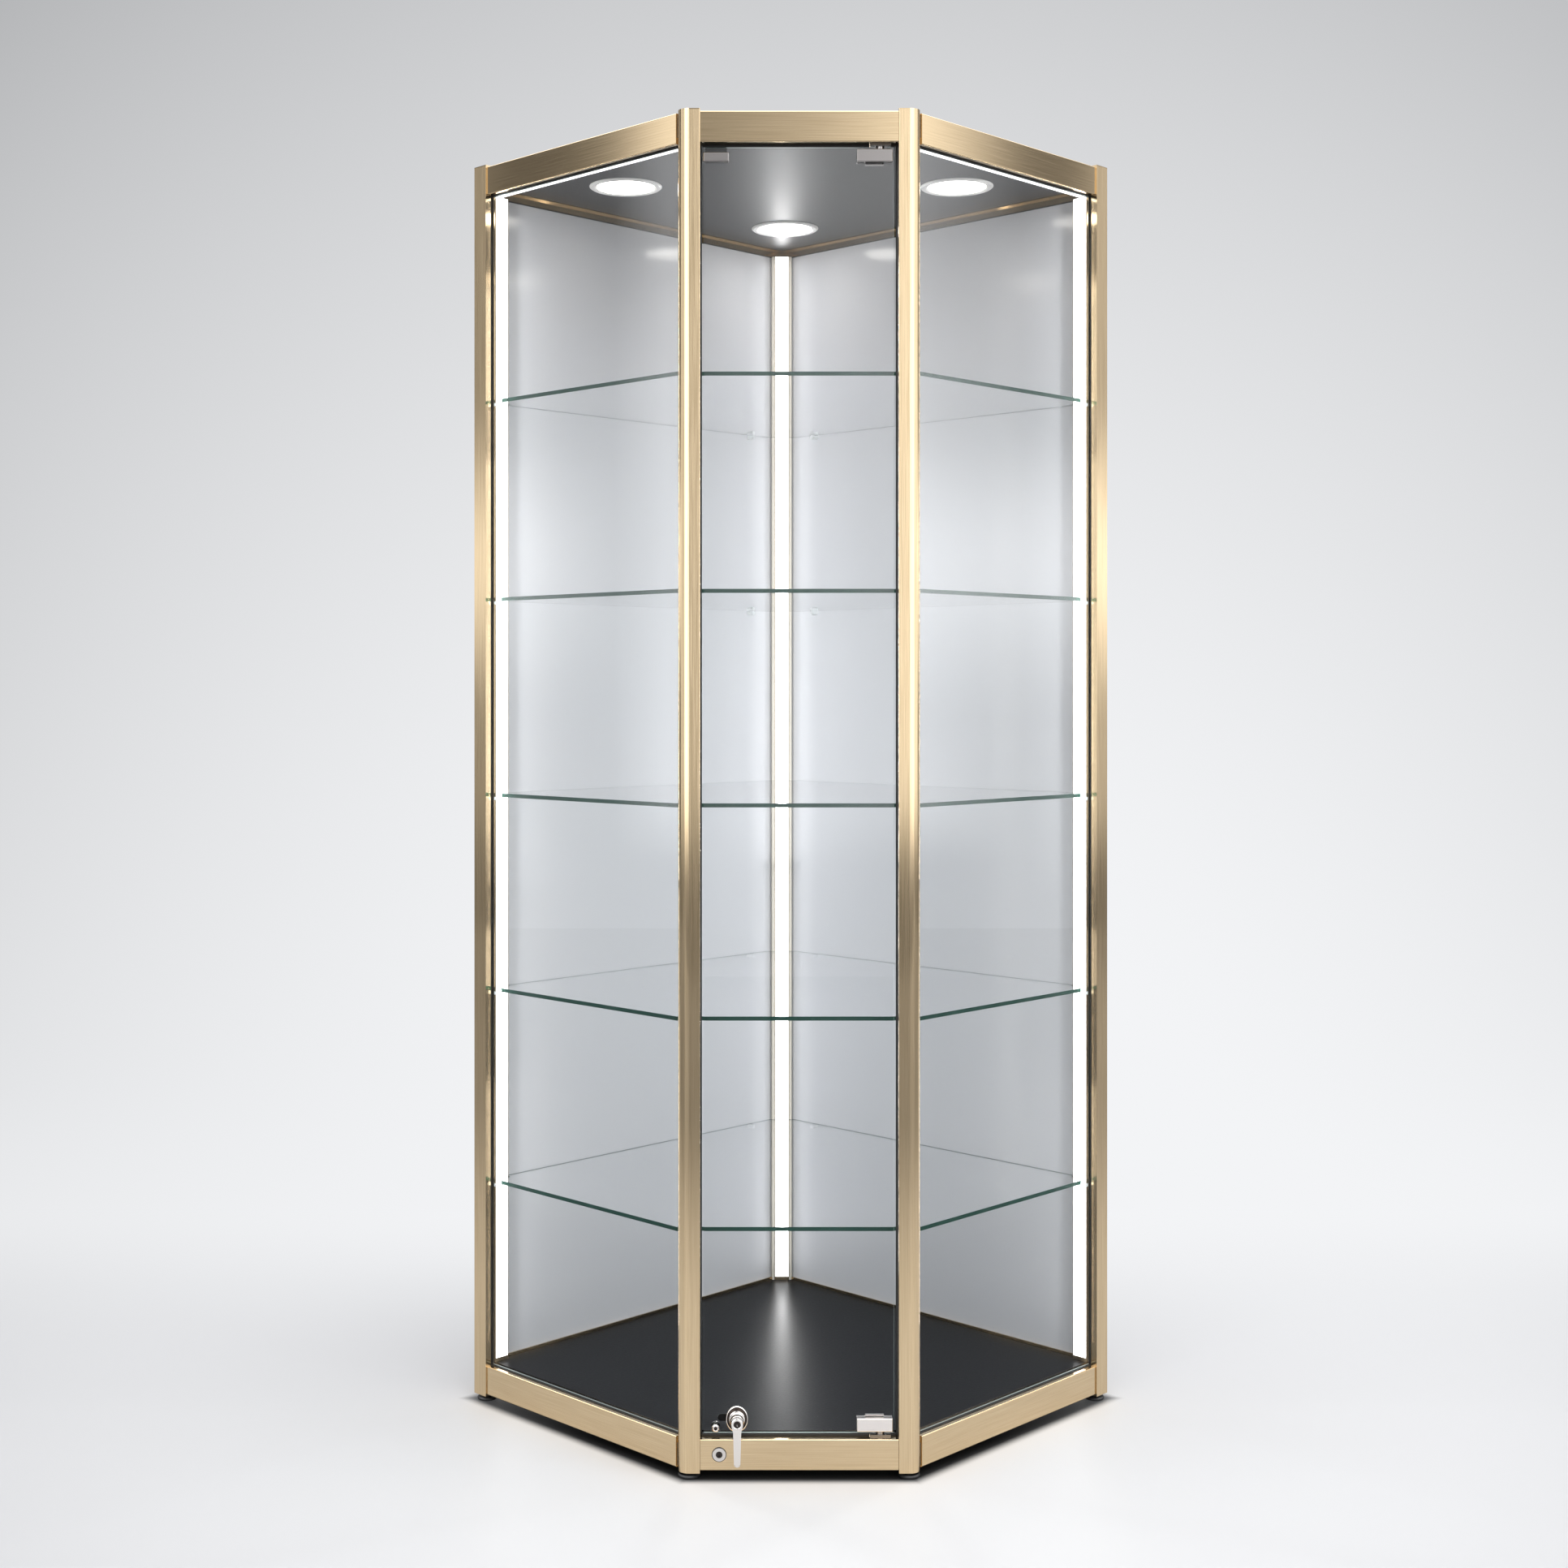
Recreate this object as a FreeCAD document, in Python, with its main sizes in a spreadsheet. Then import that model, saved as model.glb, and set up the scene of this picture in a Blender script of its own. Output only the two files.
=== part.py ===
import FreeCAD, Part
import math
import os

import Sketcher
from FreeCAD import Placement, Rotation, Vector

# A five-sided glass display cabinet for a room corner.  The origin is on the floor under
# the back corner post; the door faces -Y, +X is to the right of someone facing the door.

document = FreeCAD.newDocument("corner_cabinet")
sheet = document.addObject("Spreadsheet::Sheet", "Sizes")

SIZES = [
    # plan and height
    ("overall_height", 1980.0, "floor to the tops of the posts"),
    ("side_reach", 488.0, "middle plane to a side post's axis"),
    ("front_reach", 159.5, "middle plane to a front post's axis"),
    ("foot_height", 9.0, "floor to the lower ends of the posts"),
    # posts
    ("post_outer", 15.0, "corner post's axis to its outer faces"),
    ("post_face", 14.0, "corner post's axis to the faces that take the panes"),
    ("post_lip", 6.5, "post's axis to the room side of its glazing lips"),
    ("nose_radius", 16.0, "front post's rounded nose"),
    ("front_post_back", 13.0, "front post's axis to its back face"),
    ("front_post_edge", 1.0, "radius on a front post's door-side edge"),
    ("groove_depth", 8.0, "glazing grooves in posts and rails"),
    ("port_radius", 4.1, "screw port along each post"),
    ("cap_thickness", 1.5, "post cap"),
    # rails
    ("rail_height", 45.0, "height of every rail"),
    ("rail_drop", 3.0, "post's end to the nearer face of a rail"),
    ("rail_outer", 13.0, "axis line to a rail's outer face"),
    ("rail_lip", 2.7, "lip between a glazing groove and a rail's inner face"),
    ("front_rail_inner", 17.0, "axis line to a front rail's inner face"),
    ("rail_wall", 2.2, "wall of a rail"),
    ("soft_edge", 1.6, "radius on rails, feet, strike clip and catch"),
    ("ledge_reach", 7.5, "ledges that carry the panels"),
    ("ledge_thickness", 2.0, "thickness of those ledges"),
    ("joint_gap", 0.2, "gap between a rail's end and a post"),
    ("connector_length", 16.0, "corner connector in a rail's end"),
    # horizontal panels
    ("panel_clearance", 0.5, "gap round the deck, ceiling and roof"),
    ("deck_thickness", 18.0, "base deck"),
    ("deck_rise", 3.0, "deck's top above the bottom rails"),
    ("ceiling_thickness", 6.0, "ceiling panel"),
    ("ceiling_rise", 13.0, "ceiling's underside above the top rails' lower face"),
    ("roof_thickness", 3.0, "roof panel"),
    ("roof_drop", 6.0, "roof panel's top below the top rails' upper face"),
    # upright panes
    ("pane_thickness", 5.0, "side glass, back panels and door glass"),
    ("gasket_thickness", 1.5, "gasket on each side of a pane"),
    ("gasket_proud", 1.0, "gasket standing out of its groove"),
    ("edge_clearance", 1.5, "pane's edge to the floor of its groove"),
    ("slip", 0.1, "clearance of pushed-in pieces"),
    ("bead_height", 7.5, "bead at the foot of a back panel"),
    # shelves
    ("shelf_thickness", 6.0, "glass shelf"),
    ("shelf_height_1", 348.0, "floor to the underside of the lowest shelf"),
    ("shelf_height_2", 656.0, "floor to the underside of the second shelf"),
    ("shelf_height_3", 968.0, "floor to the underside of the third shelf"),
    ("shelf_height_4", 1282.0, "floor to the underside of the fourth shelf"),
    ("shelf_height_5", 1600.0, "floor to the underside of the top shelf"),
    ("shelf_front", 28.0, "front axis line to the shelves"),
    ("shelf_side", 8.0, "side axis line to the shelves"),
    ("shelf_back", 6.0, "back axis line to the shelves"),
    ("shelf_gap", 2.0, "shelf to the light channels"),
    ("clip_width", 8.0, "front shelf clip"),
    ("clip_height", 5.0, "front and side shelf clips"),
    ("clip_hold", 10.0, "how far a clip reaches under its shelf"),
    ("clip_pin_radius", 3.5, "round clip on a back panel"),
    ("clip_pin_place", 90.0, "back corner's axis to its round clips"),
    # lighting
    ("diffuser_width", 24.0, "light strip's diffuser"),
    ("diffuser_thickness", 2.2, "thickness of the diffuser"),
    ("channel_wall", 1.2, "wall of a light channel"),
    ("channel_depth", 8.0, "depth of a light channel"),
    ("channel_cap", 6.0, "end cap of a light channel"),
    ("tape_width", 10.0, "lighting tape"),
    ("tape_thickness", 1.4, "thickness of the tape"),
    ("downlight_side", 263.0, "middle plane to the side downlights"),
    ("downlight_front", 310.0, "front axis line to the side downlights"),
    ("downlight_back", 612.0, "front axis line to the back downlight"),
    ("bezel_radius", 58.0, "downlight bezel"),
    ("bezel_drop", 3.2, "bezel below the ceiling"),
    ("bezel_bevel", 3.0, "slopes on each side of the bezel's flat"),
    ("bezel_rim", 1.1, "bezel's upright outer rim"),
    ("bezel_throat", 1.6, "bezel's upright inner rim"),
    ("lens_drop", 1.9, "downlight lens below the ceiling"),
    ("lens_radius", 46.0, "downlight lens"),
    ("housing_radius", 43.0, "downlight housing"),
    ("housing_height", 13.0, "downlight housing above the ceiling's underside"),
    ("cutout_radius", 48.0, "downlight's hole in the ceiling"),
    ("driver_length", 170.0, "lighting driver"),
    ("driver_width", 46.0, "width of the driver"),
    ("driver_height", 13.0, "height of the driver"),
    ("driver_place", 420.0, "back corner's axis to the driver"),
    ("driver_edge", 1.2, "radius on the driver's upright edges"),
    ("grommet_radius", 10.0, "cable grommet's neck"),
    ("grommet_rim", 13.0, "cable grommet's rim"),
    ("grommet_flange", 1.5, "thickness of that rim"),
    ("grommet_place", 60.0, "back corner's axis to the grommet"),
    # door
    ("door_setback", 17.0, "front rail's outer face to the door glass"),
    ("door_side_gap", 5.5, "door's edge to a front post"),
    ("door_bottom_gap", 4.0, "door above the bottom rail"),
    ("door_top_gap", 4.0, "door below the top rail"),
    ("pivot_inset", 20.0, "door's hinge edge to the pivot axis"),
    ("pin_radius", 3.5, "pivot pin"),
    ("pin_clearance", 0.05, "radial play of turning fits"),
    ("pin_length", 14.0, "pivot pin in its clamp"),
    ("collar_radius", 6.5, "shoulder on the pivot pin"),
    ("plate_length", 30.0, "pivot plate"),
    ("plate_width", 16.0, "width of the pivot plate"),
    ("plate_thickness", 2.6, "thickness of the pivot plate"),
    ("clamp_rise", 3.0, "door's end to its clamp"),
    ("clamp_width", 52.0, "hinge clamp"),
    ("clamp_height", 19.0, "height of the hinge clamp"),
    ("clamp_cheek", 6.0, "clamp's cheek on each side of the glass"),
    ("clamp_inset", 2.0, "door's hinge edge to the clamp"),
    ("jaw_width", 27.0, "raised jaw behind the glass"),
    ("jaw_rise", 3.0, "raised jaw above the clamp"),
    ("clamp_edge", 1.2, "radius on the clamp's edges"),
    ("clamp_screw_radius", 2.5, "clamp screw"),
    ("clamp_screw_spacing", 30.0, "between the screws of one clamp"),
    ("notch_half", 8.0, "half of the notch in the glass for a pin"),
    ("notch_depth", 19.0, "depth of that notch"),
    ("strike_width", 38.0, "strike clip on the door's free edge"),
    ("strike_height", 14.0, "height of the strike clip"),
    ("strike_drop", 7.0, "door's top to the strike clip"),
    ("strike_cheek", 2.5, "strike clip on each side of the glass"),
    ("strike_wrap", 1.5, "strike clip beyond the door's free edge"),
    ("magnet_length", 32.0, "magnetic catch"),
    ("magnet_width", 8.0, "width of the catch"),
    ("magnet_height", 17.0, "catch below the top rail"),
    ("catch_gap", 0.6, "catch to the strike clip"),
    # locks
    ("lock_inset", 48.0, "door's free edge to the door lock's axis"),
    ("lock_rise", 24.0, "bottom rail's top to the door lock's axis"),
    ("rosette_half_width", 16.0, "oval rosette"),
    ("rosette_half_height", 19.0, "oval rosette, upright"),
    ("rosette_thickness", 3.0, "thickness of the rosette"),
    ("rosette_edge", 1.5, "radius round the rosette's face"),
    ("barrel_radius", 9.0, "door lock's barrel"),
    ("barrel_step", 10.5, "door lock's shoulder in front of the rosette"),
    ("barrel_reach", 12.0, "barrel in front of the rosette"),
    ("barrel_nut", 2.4, "nut behind the glass"),
    ("spindle_radius", 4.0, "spindle through the barrel"),
    ("lever_hub_radius", 8.5, "lever's hub"),
    ("lever_hub_length", 10.0, "length of the hub"),
    ("lever_length", 62.5, "lock axis to the lever's tip"),
    ("lever_root", 5.8, "half width of the lever at its hub"),
    ("lever_tip", 4.6, "half width of the lever at its tip"),
    ("lever_thickness", 4.5, "thickness of the lever"),
    ("lever_setback", 1.8, "hub's face to the lever's face"),
    ("key_radius", 5.0, "keyed plug in the hub"),
    ("key_depth", 7.0, "depth of the keyed plug"),
    ("key_slot_width", 1.4, "key slots"),
    ("key_slot_length", 6.4, "length of the key slots"),
    ("key_slot_depth", 3.0, "depth of the key slots"),
    ("cam_length", 28.0, "lock cam, axis to tip"),
    ("cam_half_width", 5.0, "half width of the lock cam"),
    ("cam_thickness", 2.4, "thickness of the cam and the tongue"),
    ("clear_gap", 0.4, "gap at turning pieces and beside the light channels"),
    ("heel_radius", 6.2, "round heel of the cam and of the tongue"),
    ("slot_play", 1.2, "slots in the rail beyond the swing of the cam and the tongue"),
    ("rail_lock_inset", 43.5, "front left post's axis to the rail lock's axis"),
    ("rail_lock_rise", 23.5, "bottom rail's lower face to the rail lock's axis"),
    ("rail_barrel_radius", 7.5, "rail lock's barrel"),
    ("rail_barrel_flange", 9.5, "rail lock's flange"),
    ("rail_barrel_length", 17.0, "rail lock's barrel behind the flange"),
    ("rail_plug_radius", 4.8, "rail lock's plug"),
    ("tongue_length", 29.0, "rail lock's tongue, axis to tip"),
    ("tongue_half_width", 4.0, "half width of the tongue"),
    ("flange_thickness", 1.5, "rail lock's flange"),
    ("stud_aside", 5.0, "rail lock's axis to the strike stud, towards the post"),
    ("stud_over", 3.3, "raised tongue's tip to the strike stud's axis"),
    ("stud_radius", 5.5, "strike stud's head"),
    ("stud_crown", 4.4, "flat face of that head"),
    ("stud_shank", 2.5, "strike stud's shank"),
    ("stud_head", 3.0, "head in front of the glass"),
    ("stud_catch", 6.5, "stud's inner head, which the rail lock's tongue holds"),
    ("stud_catch_thickness", 2.0, "thickness of the inner head"),
    # feet
    ("foot_radius", 16.0, "levelling foot"),
    ("foot_pad", 5.0, "thickness of the foot's pad"),
    ("foot_hex", 7.0, "hexagon, centre to corner"),
    ("foot_gap", 0.8, "hexagon to the post"),
    ("foot_stud", 22.0, "threaded stud in the post"),
]


class Length:
    # A size together with the sheet formula it comes from.
    def __init__(self, value, formula):
        self.value = value
        self.formula = formula

    def __add__(self, other):
        other = as_length(other)
        if other.formula == "0":
            return self
        if self.formula == "0":
            return other
        return Length(self.value + other.value, f"({self.formula} + {other.formula})")

    def __neg__(self):
        return self if self.formula == "0" else Length(-self.value, f"(-1 * {self.formula})")

    def __sub__(self, other):
        return self + (-as_length(other))

    def __rsub__(self, other):
        return as_length(other) - self

    def __mul__(self, factor):
        if factor == 0 or self.formula == "0":
            return ZERO
        if factor == 1:
            return self
        return Length(self.value * factor, f"({self.formula} * {factor!r})")

    def __truediv__(self, factor):
        return self * (1.0 / factor)

    __radd__ = __add__
    __rmul__ = __mul__


ZERO = Length(0.0, "0")


def as_length(item):
    if isinstance(item, Length):
        return item
    return ZERO if item == 0 else Length(float(item), repr(float(item)))


def larger(first, second):
    formula = f"max({first.formula}; {second.formula})"
    return Length(max(first.value, second.value), formula)


def swing_at(radius, level):
    # How far to the side a turning arm's tip is where it passes a level.
    formula = f"sqrt(max({radius.formula}^2 - {level.formula}^2; 0))"
    return Length(math.sqrt(max(radius.value ** 2 - level.value ** 2, 0)), formula)


class Sizes:
    pass


size = Sizes()
for row, (alias, value, meaning) in enumerate(SIZES, start=1):
    sheet.set(f"A{row}", meaning)
    sheet.set(f"B{row}", str(value))
    sheet.setAlias(f"B{row}", alias)
    setattr(size, alias, Length(value, f"Sizes.{alias}"))
document.recompute()

ROOT_TWO = math.sqrt(2)
ROOT_HALF = math.sqrt(0.5)

# Heights.
post_bottom = size.foot_height
post_top = size.overall_height - size.cap_thickness
low_rail = post_bottom + size.rail_drop
low_rail_top = low_rail + size.rail_height
high_rail_top = size.overall_height - size.rail_drop
high_rail = high_rail_top - size.rail_height
deck_top = low_rail_top + size.deck_rise
ceiling_under = high_rail + size.ceiling_rise
ceiling_top = ceiling_under + size.ceiling_thickness
roof_top = high_rail_top - size.roof_drop
roof_under = roof_top - size.roof_thickness

# Widths that several pieces share.
half_pane = size.pane_thickness / 2
half_groove = half_pane + size.gasket_thickness
rail_inner = half_groove + size.rail_lip
groove_floor = size.post_face - size.groove_depth
front_axis = size.front_reach - 2 * size.side_reach  # Y of the front posts
side_axis = -size.side_reach  # Y of the side posts


class Wall:
    # A side of the cabinet: x runs along it, y points into the cabinet.
    def __init__(self, x, y, turn, length):
        self.x = as_length(x)
        self.y = as_length(y)
        self.turn = turn
        self.length = as_length(length)
        self.cosine = round(math.cos(math.radians(turn)), 12)
        self.sine = round(math.sin(math.radians(turn)), 12)


side_run = (size.side_reach - size.front_reach) * ROOT_TWO
back_run = size.side_reach * ROOT_TWO
room = Wall(0, 0, 0, 0)
front_wall = Wall(-size.front_reach, front_axis, 0, 2 * size.front_reach)
left_wall = Wall(-size.side_reach, side_axis, -45, side_run)
right_wall = Wall(size.front_reach, front_axis, 45, side_run)
back_right_wall = Wall(size.side_reach, side_axis, 135, back_run)
back_left_wall = Wall(0, 0, -135, back_run)
back_corner = Wall(0, 0, 180, 0)


def bind(item, field, length):
    item.setExpression(field, as_length(length).formula)


def put(item, wall, x, y, z, tilt=None):
    # Lays an object at a place in a wall's own axes.
    turn = Rotation(Vector(0, 0, 1), wall.turn)
    item.Placement = Placement(Vector(), turn.multiply(tilt) if tilt else turn)
    x, y = as_length(x), as_length(y)
    bind(item, "Placement.Base.x", wall.x + x * wall.cosine - y * wall.sine)
    bind(item, "Placement.Base.y", wall.y + x * wall.sine + y * wall.cosine)
    bind(item, "Placement.Base.z", z)
    return item


nodes = {}


def node(label, item):
    item.Label = label
    nodes[label] = item
    return item


def hold(sketch, constraint, length):
    index = sketch.addConstraint(constraint)
    sketch.setExpression(f"Constraints[{index}]", as_length(length).formula)


def arc_between(start, end, radius):
    chord = end - start
    across = Vector(-chord.y, chord.x, 0).normalize()
    reach = math.sqrt(max(radius ** 2 - (chord.Length / 2) ** 2, 0))
    centre = (start + end) * 0.5 + across * reach
    first = math.atan2(start.y - centre.y, start.x - centre.x)
    last = math.atan2(end.y - centre.y, end.x - centre.x)
    return Part.ArcOfCircle(Part.Circle(centre, Vector(0, 0, 1), radius), first, last)


def draw_loop(sketch, corners):
    # Corners run anticlockwise; one with a third value starts an arc of that radius.
    base = sketch.GeometryCount
    places = [Vector(as_length(c[0]).value, as_length(c[1]).value, 0) for c in corners]
    for index, corner in enumerate(corners):
        start = places[index]
        end = places[(index + 1) % len(corners)]
        if len(corner) == 3:
            sketch.addGeometry(arc_between(start, end, corner[2].value), False)
        else:
            sketch.addGeometry(Part.LineSegment(start, end), False)
    for index, corner in enumerate(corners):
        here = base + index
        following = base + (index + 1) % len(corners)
        sketch.addConstraint(Sketcher.Constraint("Coincident", here, 2, following, 1))
        place = places[index]
        hold(sketch, Sketcher.Constraint("DistanceX", -1, 1, here, 1, place.x), corner[0])
        hold(sketch, Sketcher.Constraint("DistanceY", -1, 1, here, 1, place.y), corner[1])
        if len(corner) == 3:
            hold(sketch, Sketcher.Constraint("Radius", here, corner[2].value), corner[2])


def draw_circle(sketch, x, y, radius):
    index = sketch.GeometryCount
    centre = Vector(as_length(x).value, as_length(y).value, 0)
    sketch.addGeometry(Part.Circle(centre, Vector(0, 0, 1), radius.value), False)
    hold(sketch, Sketcher.Constraint("Radius", index, radius.value), radius)
    hold(sketch, Sketcher.Constraint("DistanceX", -1, 1, index, 3, centre.x), x)
    hold(sketch, Sketcher.Constraint("DistanceY", -1, 1, index, 3, centre.y), y)


def sketch_on(body, role):
    sketch = body.newObject("Sketcher::SketchObject", body.Name + "_outline")
    plane = [item for item in body.Origin.OriginFeatures if item.Role == role][0]
    sketch.AttachmentSupport = [(plane, "")]
    sketch.MapMode = "FlatFace"
    return sketch


def extrusion(label, role, length, loops=(), circles=(), offset=ZERO, body=None):
    # A body padded from a sketch.  On XZ_Plane the pad grows towards +Y.
    body = body or document.addObject("PartDesign::Body", label)
    sketch = sketch_on(body, role)
    for corners in loops:
        draw_loop(sketch, corners)
    for circle in circles:
        draw_circle(sketch, *circle)
    if offset.formula != "0":
        bind(sketch, "AttachmentOffset.Base.z", offset)
    pad = body.newObject("PartDesign::Pad", label + "_pad")
    pad.Profile = sketch
    pad.Reversed = role == "XZ_Plane"
    bind(pad, "Length", length)
    return body


def turned(label, corners, role="XZ_Plane", axis="V_Axis"):
    # A body turned from half of its section.
    body = document.addObject("PartDesign::Body", label)
    sketch = sketch_on(body, role)
    draw_loop(sketch, corners)
    turning = body.newObject("PartDesign::Revolution", label + "_turning")
    turning.Profile = sketch
    turning.ReferenceAxis = (sketch, [axis])
    turning.Angle = 360
    return body


def block(label, wall, x, y, z):
    # A box between two places along each axis of a wall.
    item = document.addObject("Part::Box", label)
    bind(item, "Length", x[1] - as_length(x[0]))
    bind(item, "Width", y[1] - as_length(y[0]))
    bind(item, "Height", z[1] - as_length(z[0]))
    return put(item, wall, x[0], y[0], z[0])


def rod(label, wall, x, z, y, radius):
    # A cylinder along a wall's y.
    item = document.addObject("Part::Cylinder", label)
    bind(item, "Radius", radius)
    bind(item, "Height", y[1] - as_length(y[0]))
    return put(item, wall, x, y[0], z, Rotation(Vector(1, 0, 0), -90))


def upright(label, wall, x, y, z, radius):
    # A cylinder along z.
    item = document.addObject("Part::Cylinder", label)
    bind(item, "Radius", radius)
    bind(item, "Height", z[1] - as_length(z[0]))
    return put(item, wall, x, y, z[0])


def group(label, items):
    item = document.addObject("Part::Compound", label)
    item.Links = items
    return item


def joined(label, items):
    item = document.addObject("Part::MultiFuse", label)
    item.Shapes = items
    return item


def minus(label, base, tools):
    item = document.addObject("Part::Cut", label)
    item.Base = base
    item.Tool = tools[0] if len(tools) == 1 else joined(label + "_tools", tools)
    return item


def rounded(label, base, radius, picks):
    # Rounds the edges that the test picks; the sheet gives the radius.
    document.recompute()
    edges = [n for n, edge in enumerate(base.Shape.Edges, start=1) if picks(edge)]
    item = document.addObject("Part::Fillet", label)
    item.Base = base
    item.Edges = [(n, radius.value, radius.value) for n in edges]
    return item


def rectangle(x, y):
    return [(x[0], y[0]), (x[1], y[0]), (x[1], y[1]), (x[0], y[1])]


# ---- posts ----------------------------------------------------------------------------

def corner_post_section():
    # Two grooves at a right angle; x follows one pane, y the other.
    outer, face, lip, half = -size.post_outer, size.post_face, size.post_lip, half_groove
    corners = [
        (outer, outer), (face, outer), (face, -half), (groove_floor, -half),
        (groove_floor, half), (face, half), (face, lip), (lip, lip), (lip, face),
        (half, face), (half, groove_floor), (-half, groove_floor), (-half, face),
        (outer, face),
    ]
    return corners


def corner_post_outline():
    outer, face, lip = -size.post_outer, size.post_face, size.post_lip
    return [(outer, outer), (face, outer), (face, lip), (lip, lip), (lip, face), (outer, face)]


def mirrored(corners, side):
    # Keeps a loop anticlockwise when it is drawn for the other side.
    if side > 0:
        return corners
    flipped = [(-as_length(c[0]), c[1]) for c in corners]
    arcs = [c[2] if len(c) == 3 else None for c in corners]
    count = len(corners)
    result = []
    for index in range(count):
        source = count - 1 - index
        radius = arcs[(source - 1) % count]
        result.append(flipped[source] + ((radius,) if radius else ()))
    return result


def along_pane(distance, aside):
    # A place in a left front post's axes: along the side pane, then towards the room.
    return ((aside - distance) * ROOT_HALF, (distance + aside) * ROOT_HALF)


def front_post_outline(groove):
    nose, back, face, lip = size.nose_radius, size.front_post_back, size.post_face, size.post_lip
    edge = size.front_post_edge
    inner_end = along_pane(face, lip)
    outer_end = (-nose, face * ROOT_TWO - nose)
    grooved = [
        along_pane(face, half_groove), along_pane(groove_floor, half_groove),
        along_pane(groove_floor, -half_groove), along_pane(face, -half_groove),
    ]
    corners = [
        (ZERO, -nose), (nose - edge, -nose, edge), (nose, edge - nose), (nose, back),
        (lip * ROOT_TWO - back, back), inner_end,
    ]
    corners += grooved if groove else []
    return corners + [outer_end, (-nose, ZERO, nose)]


def post(label, wall, outline):
    body = extrusion(label, "XY_Plane", post_top - post_bottom, [outline],
                     [(ZERO, ZERO, size.port_radius)])
    return node(label, put(body, wall, 0, 0, post_bottom))


left_corner = Wall(-size.side_reach, side_axis, -45, 0)
right_corner = Wall(size.side_reach, side_axis, 45, 0)
back_axis = Wall(0, 0, -135, 0)
front_left_corner = Wall(-size.front_reach, front_axis, 0, 0)
front_right_corner = Wall(size.front_reach, front_axis, 0, 0)

right_angle = corner_post_section()
post("front_left_post", front_left_corner, front_post_outline(True))
post("front_right_post", front_right_corner, mirrored(front_post_outline(True), -1))
post("side_left_post", left_corner, right_angle)
post("side_right_post", right_corner, mirrored(right_angle, -1))
post("back_corner_post", back_axis, right_angle)

POST_ENDS = [
    ("front_left", front_left_corner, front_post_outline(False)),
    ("front_right", front_right_corner, mirrored(front_post_outline(False), -1)),
    ("side_left", left_corner, corner_post_outline()),
    ("side_right", right_corner, mirrored(corner_post_outline(), -1)),
    ("back", back_axis, corner_post_outline()),
]
caps = []
for place, wall, outline in POST_ENDS:
    cap = extrusion(f"cap_{place}", "XY_Plane", size.cap_thickness, [outline])
    caps.append(put(cap, wall, 0, 0, post_top))
node("post_caps", group("post_caps", caps))


# ---- rails ----------------------------------------------------------------------------

def rail_section(inner, grooved, ledges, flip):
    # x is across the rail, towards the room; y is up from its lower face.
    outer, high, wall, edge = -size.rail_outer, size.rail_height, size.rail_wall, size.soft_edge
    floor = high - size.groove_depth
    rim = [(inner, ZERO)]
    for low in ledges:
        reach = inner + size.ledge_reach
        rim += [(inner, low), (reach, low), (reach, low + size.ledge_thickness),
                (inner, low + size.ledge_thickness)]
    groove = [(half_groove, high), (half_groove, floor), (-half_groove, floor), (-half_groove, high)]
    if flip:
        groove = [(-half_groove, ZERO), (-half_groove, high - floor),
                  (half_groove, high - floor), (half_groove, ZERO)]
    top = [(inner, high)] + (groove if grooved and not flip else [])
    top += [(outer + edge, high, edge), (outer, high - edge)]
    bottom = [(outer, edge, edge), (outer + edge, ZERO)]
    bottom += groove if grooved and flip else []
    hollow_low = wall + (size.groove_depth if grooved and flip else ZERO)
    hollow_high = high - wall - (size.groove_depth if grooved and not flip else ZERO)
    hollow = rectangle((outer + wall, inner - wall), (hollow_low, hollow_high))
    return [rim + top + bottom, hollow], (hollow_low, hollow_high)


connectors = []


def rail(label, wall, ends, inner, grooved, ledges, top):
    loops, hollow = rail_section(inner, grooved, ledges, top)
    start = ends[0] + size.joint_gap
    length = wall.length - ends[0] - ends[1] - 2 * size.joint_gap
    level = high_rail if top else low_rail
    body = extrusion(label, "YZ_Plane", length, loops)
    put(body, wall, start, 0, level)
    wide = (size.rail_wall - size.rail_outer + size.slip, inner - size.rail_wall - size.slip)
    tall = (level + hollow[0] + size.slip, level + hollow[1] - size.slip)
    for end, low in (("start", start), ("end", start + length - size.connector_length)):
        span = (low, low + size.connector_length)
        connectors.append(block(f"{label}_connector_{end}", wall, span, wide, tall))
    return body


deck_ledge = size.rail_height + size.deck_rise - size.deck_thickness - size.ledge_thickness
top_ledges = [
    size.ceiling_rise - size.ledge_thickness,
    size.rail_height - size.roof_drop - size.roof_thickness - size.ledge_thickness,
]
side_ends = (size.post_face, size.post_face)
door_ends = (size.nose_radius, size.nose_radius)
RAILS = [
    ("left", left_wall, side_ends),
    ("right", right_wall, side_ends),
    ("back_left", back_left_wall, side_ends),
    ("back_right", back_right_wall, side_ends),
]
for place, wall, ends in RAILS:
    low = rail(f"{place}_bottom_rail", wall, ends, rail_inner, True, [deck_ledge], False)
    node(f"{place}_bottom_rail", low)
    high = rail(f"{place}_top_rail", wall, ends, rail_inner, True, top_ledges, True)
    node(f"{place}_top_rail", high)

front_top = rail("front_top_rail", front_wall, door_ends, size.front_rail_inner, False,
                 top_ledges, True)
node("front_top_rail", front_top)
plain_front = rail("front_rail_extrusion", front_wall, door_ends, size.front_rail_inner,
                   False, [deck_ledge], False)

# The cam and the tongue turn in one plane behind the door glass, inside the rail's hollow.
door_front = front_axis - size.rail_outer + size.door_setback
door_back = door_front + size.pane_thickness
cam_front = door_back + size.barrel_nut + size.clear_gap
cam_back = cam_front + size.cam_thickness
door_half = size.front_reach - size.nose_radius - size.door_side_gap
lock_x = size.lock_inset - door_half
lock_z = low_rail_top + size.lock_rise
rail_lock_x = size.rail_lock_inset - size.front_reach
rail_lock_z = low_rail + size.rail_lock_rise
rail_face = front_axis - size.rail_outer

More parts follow.
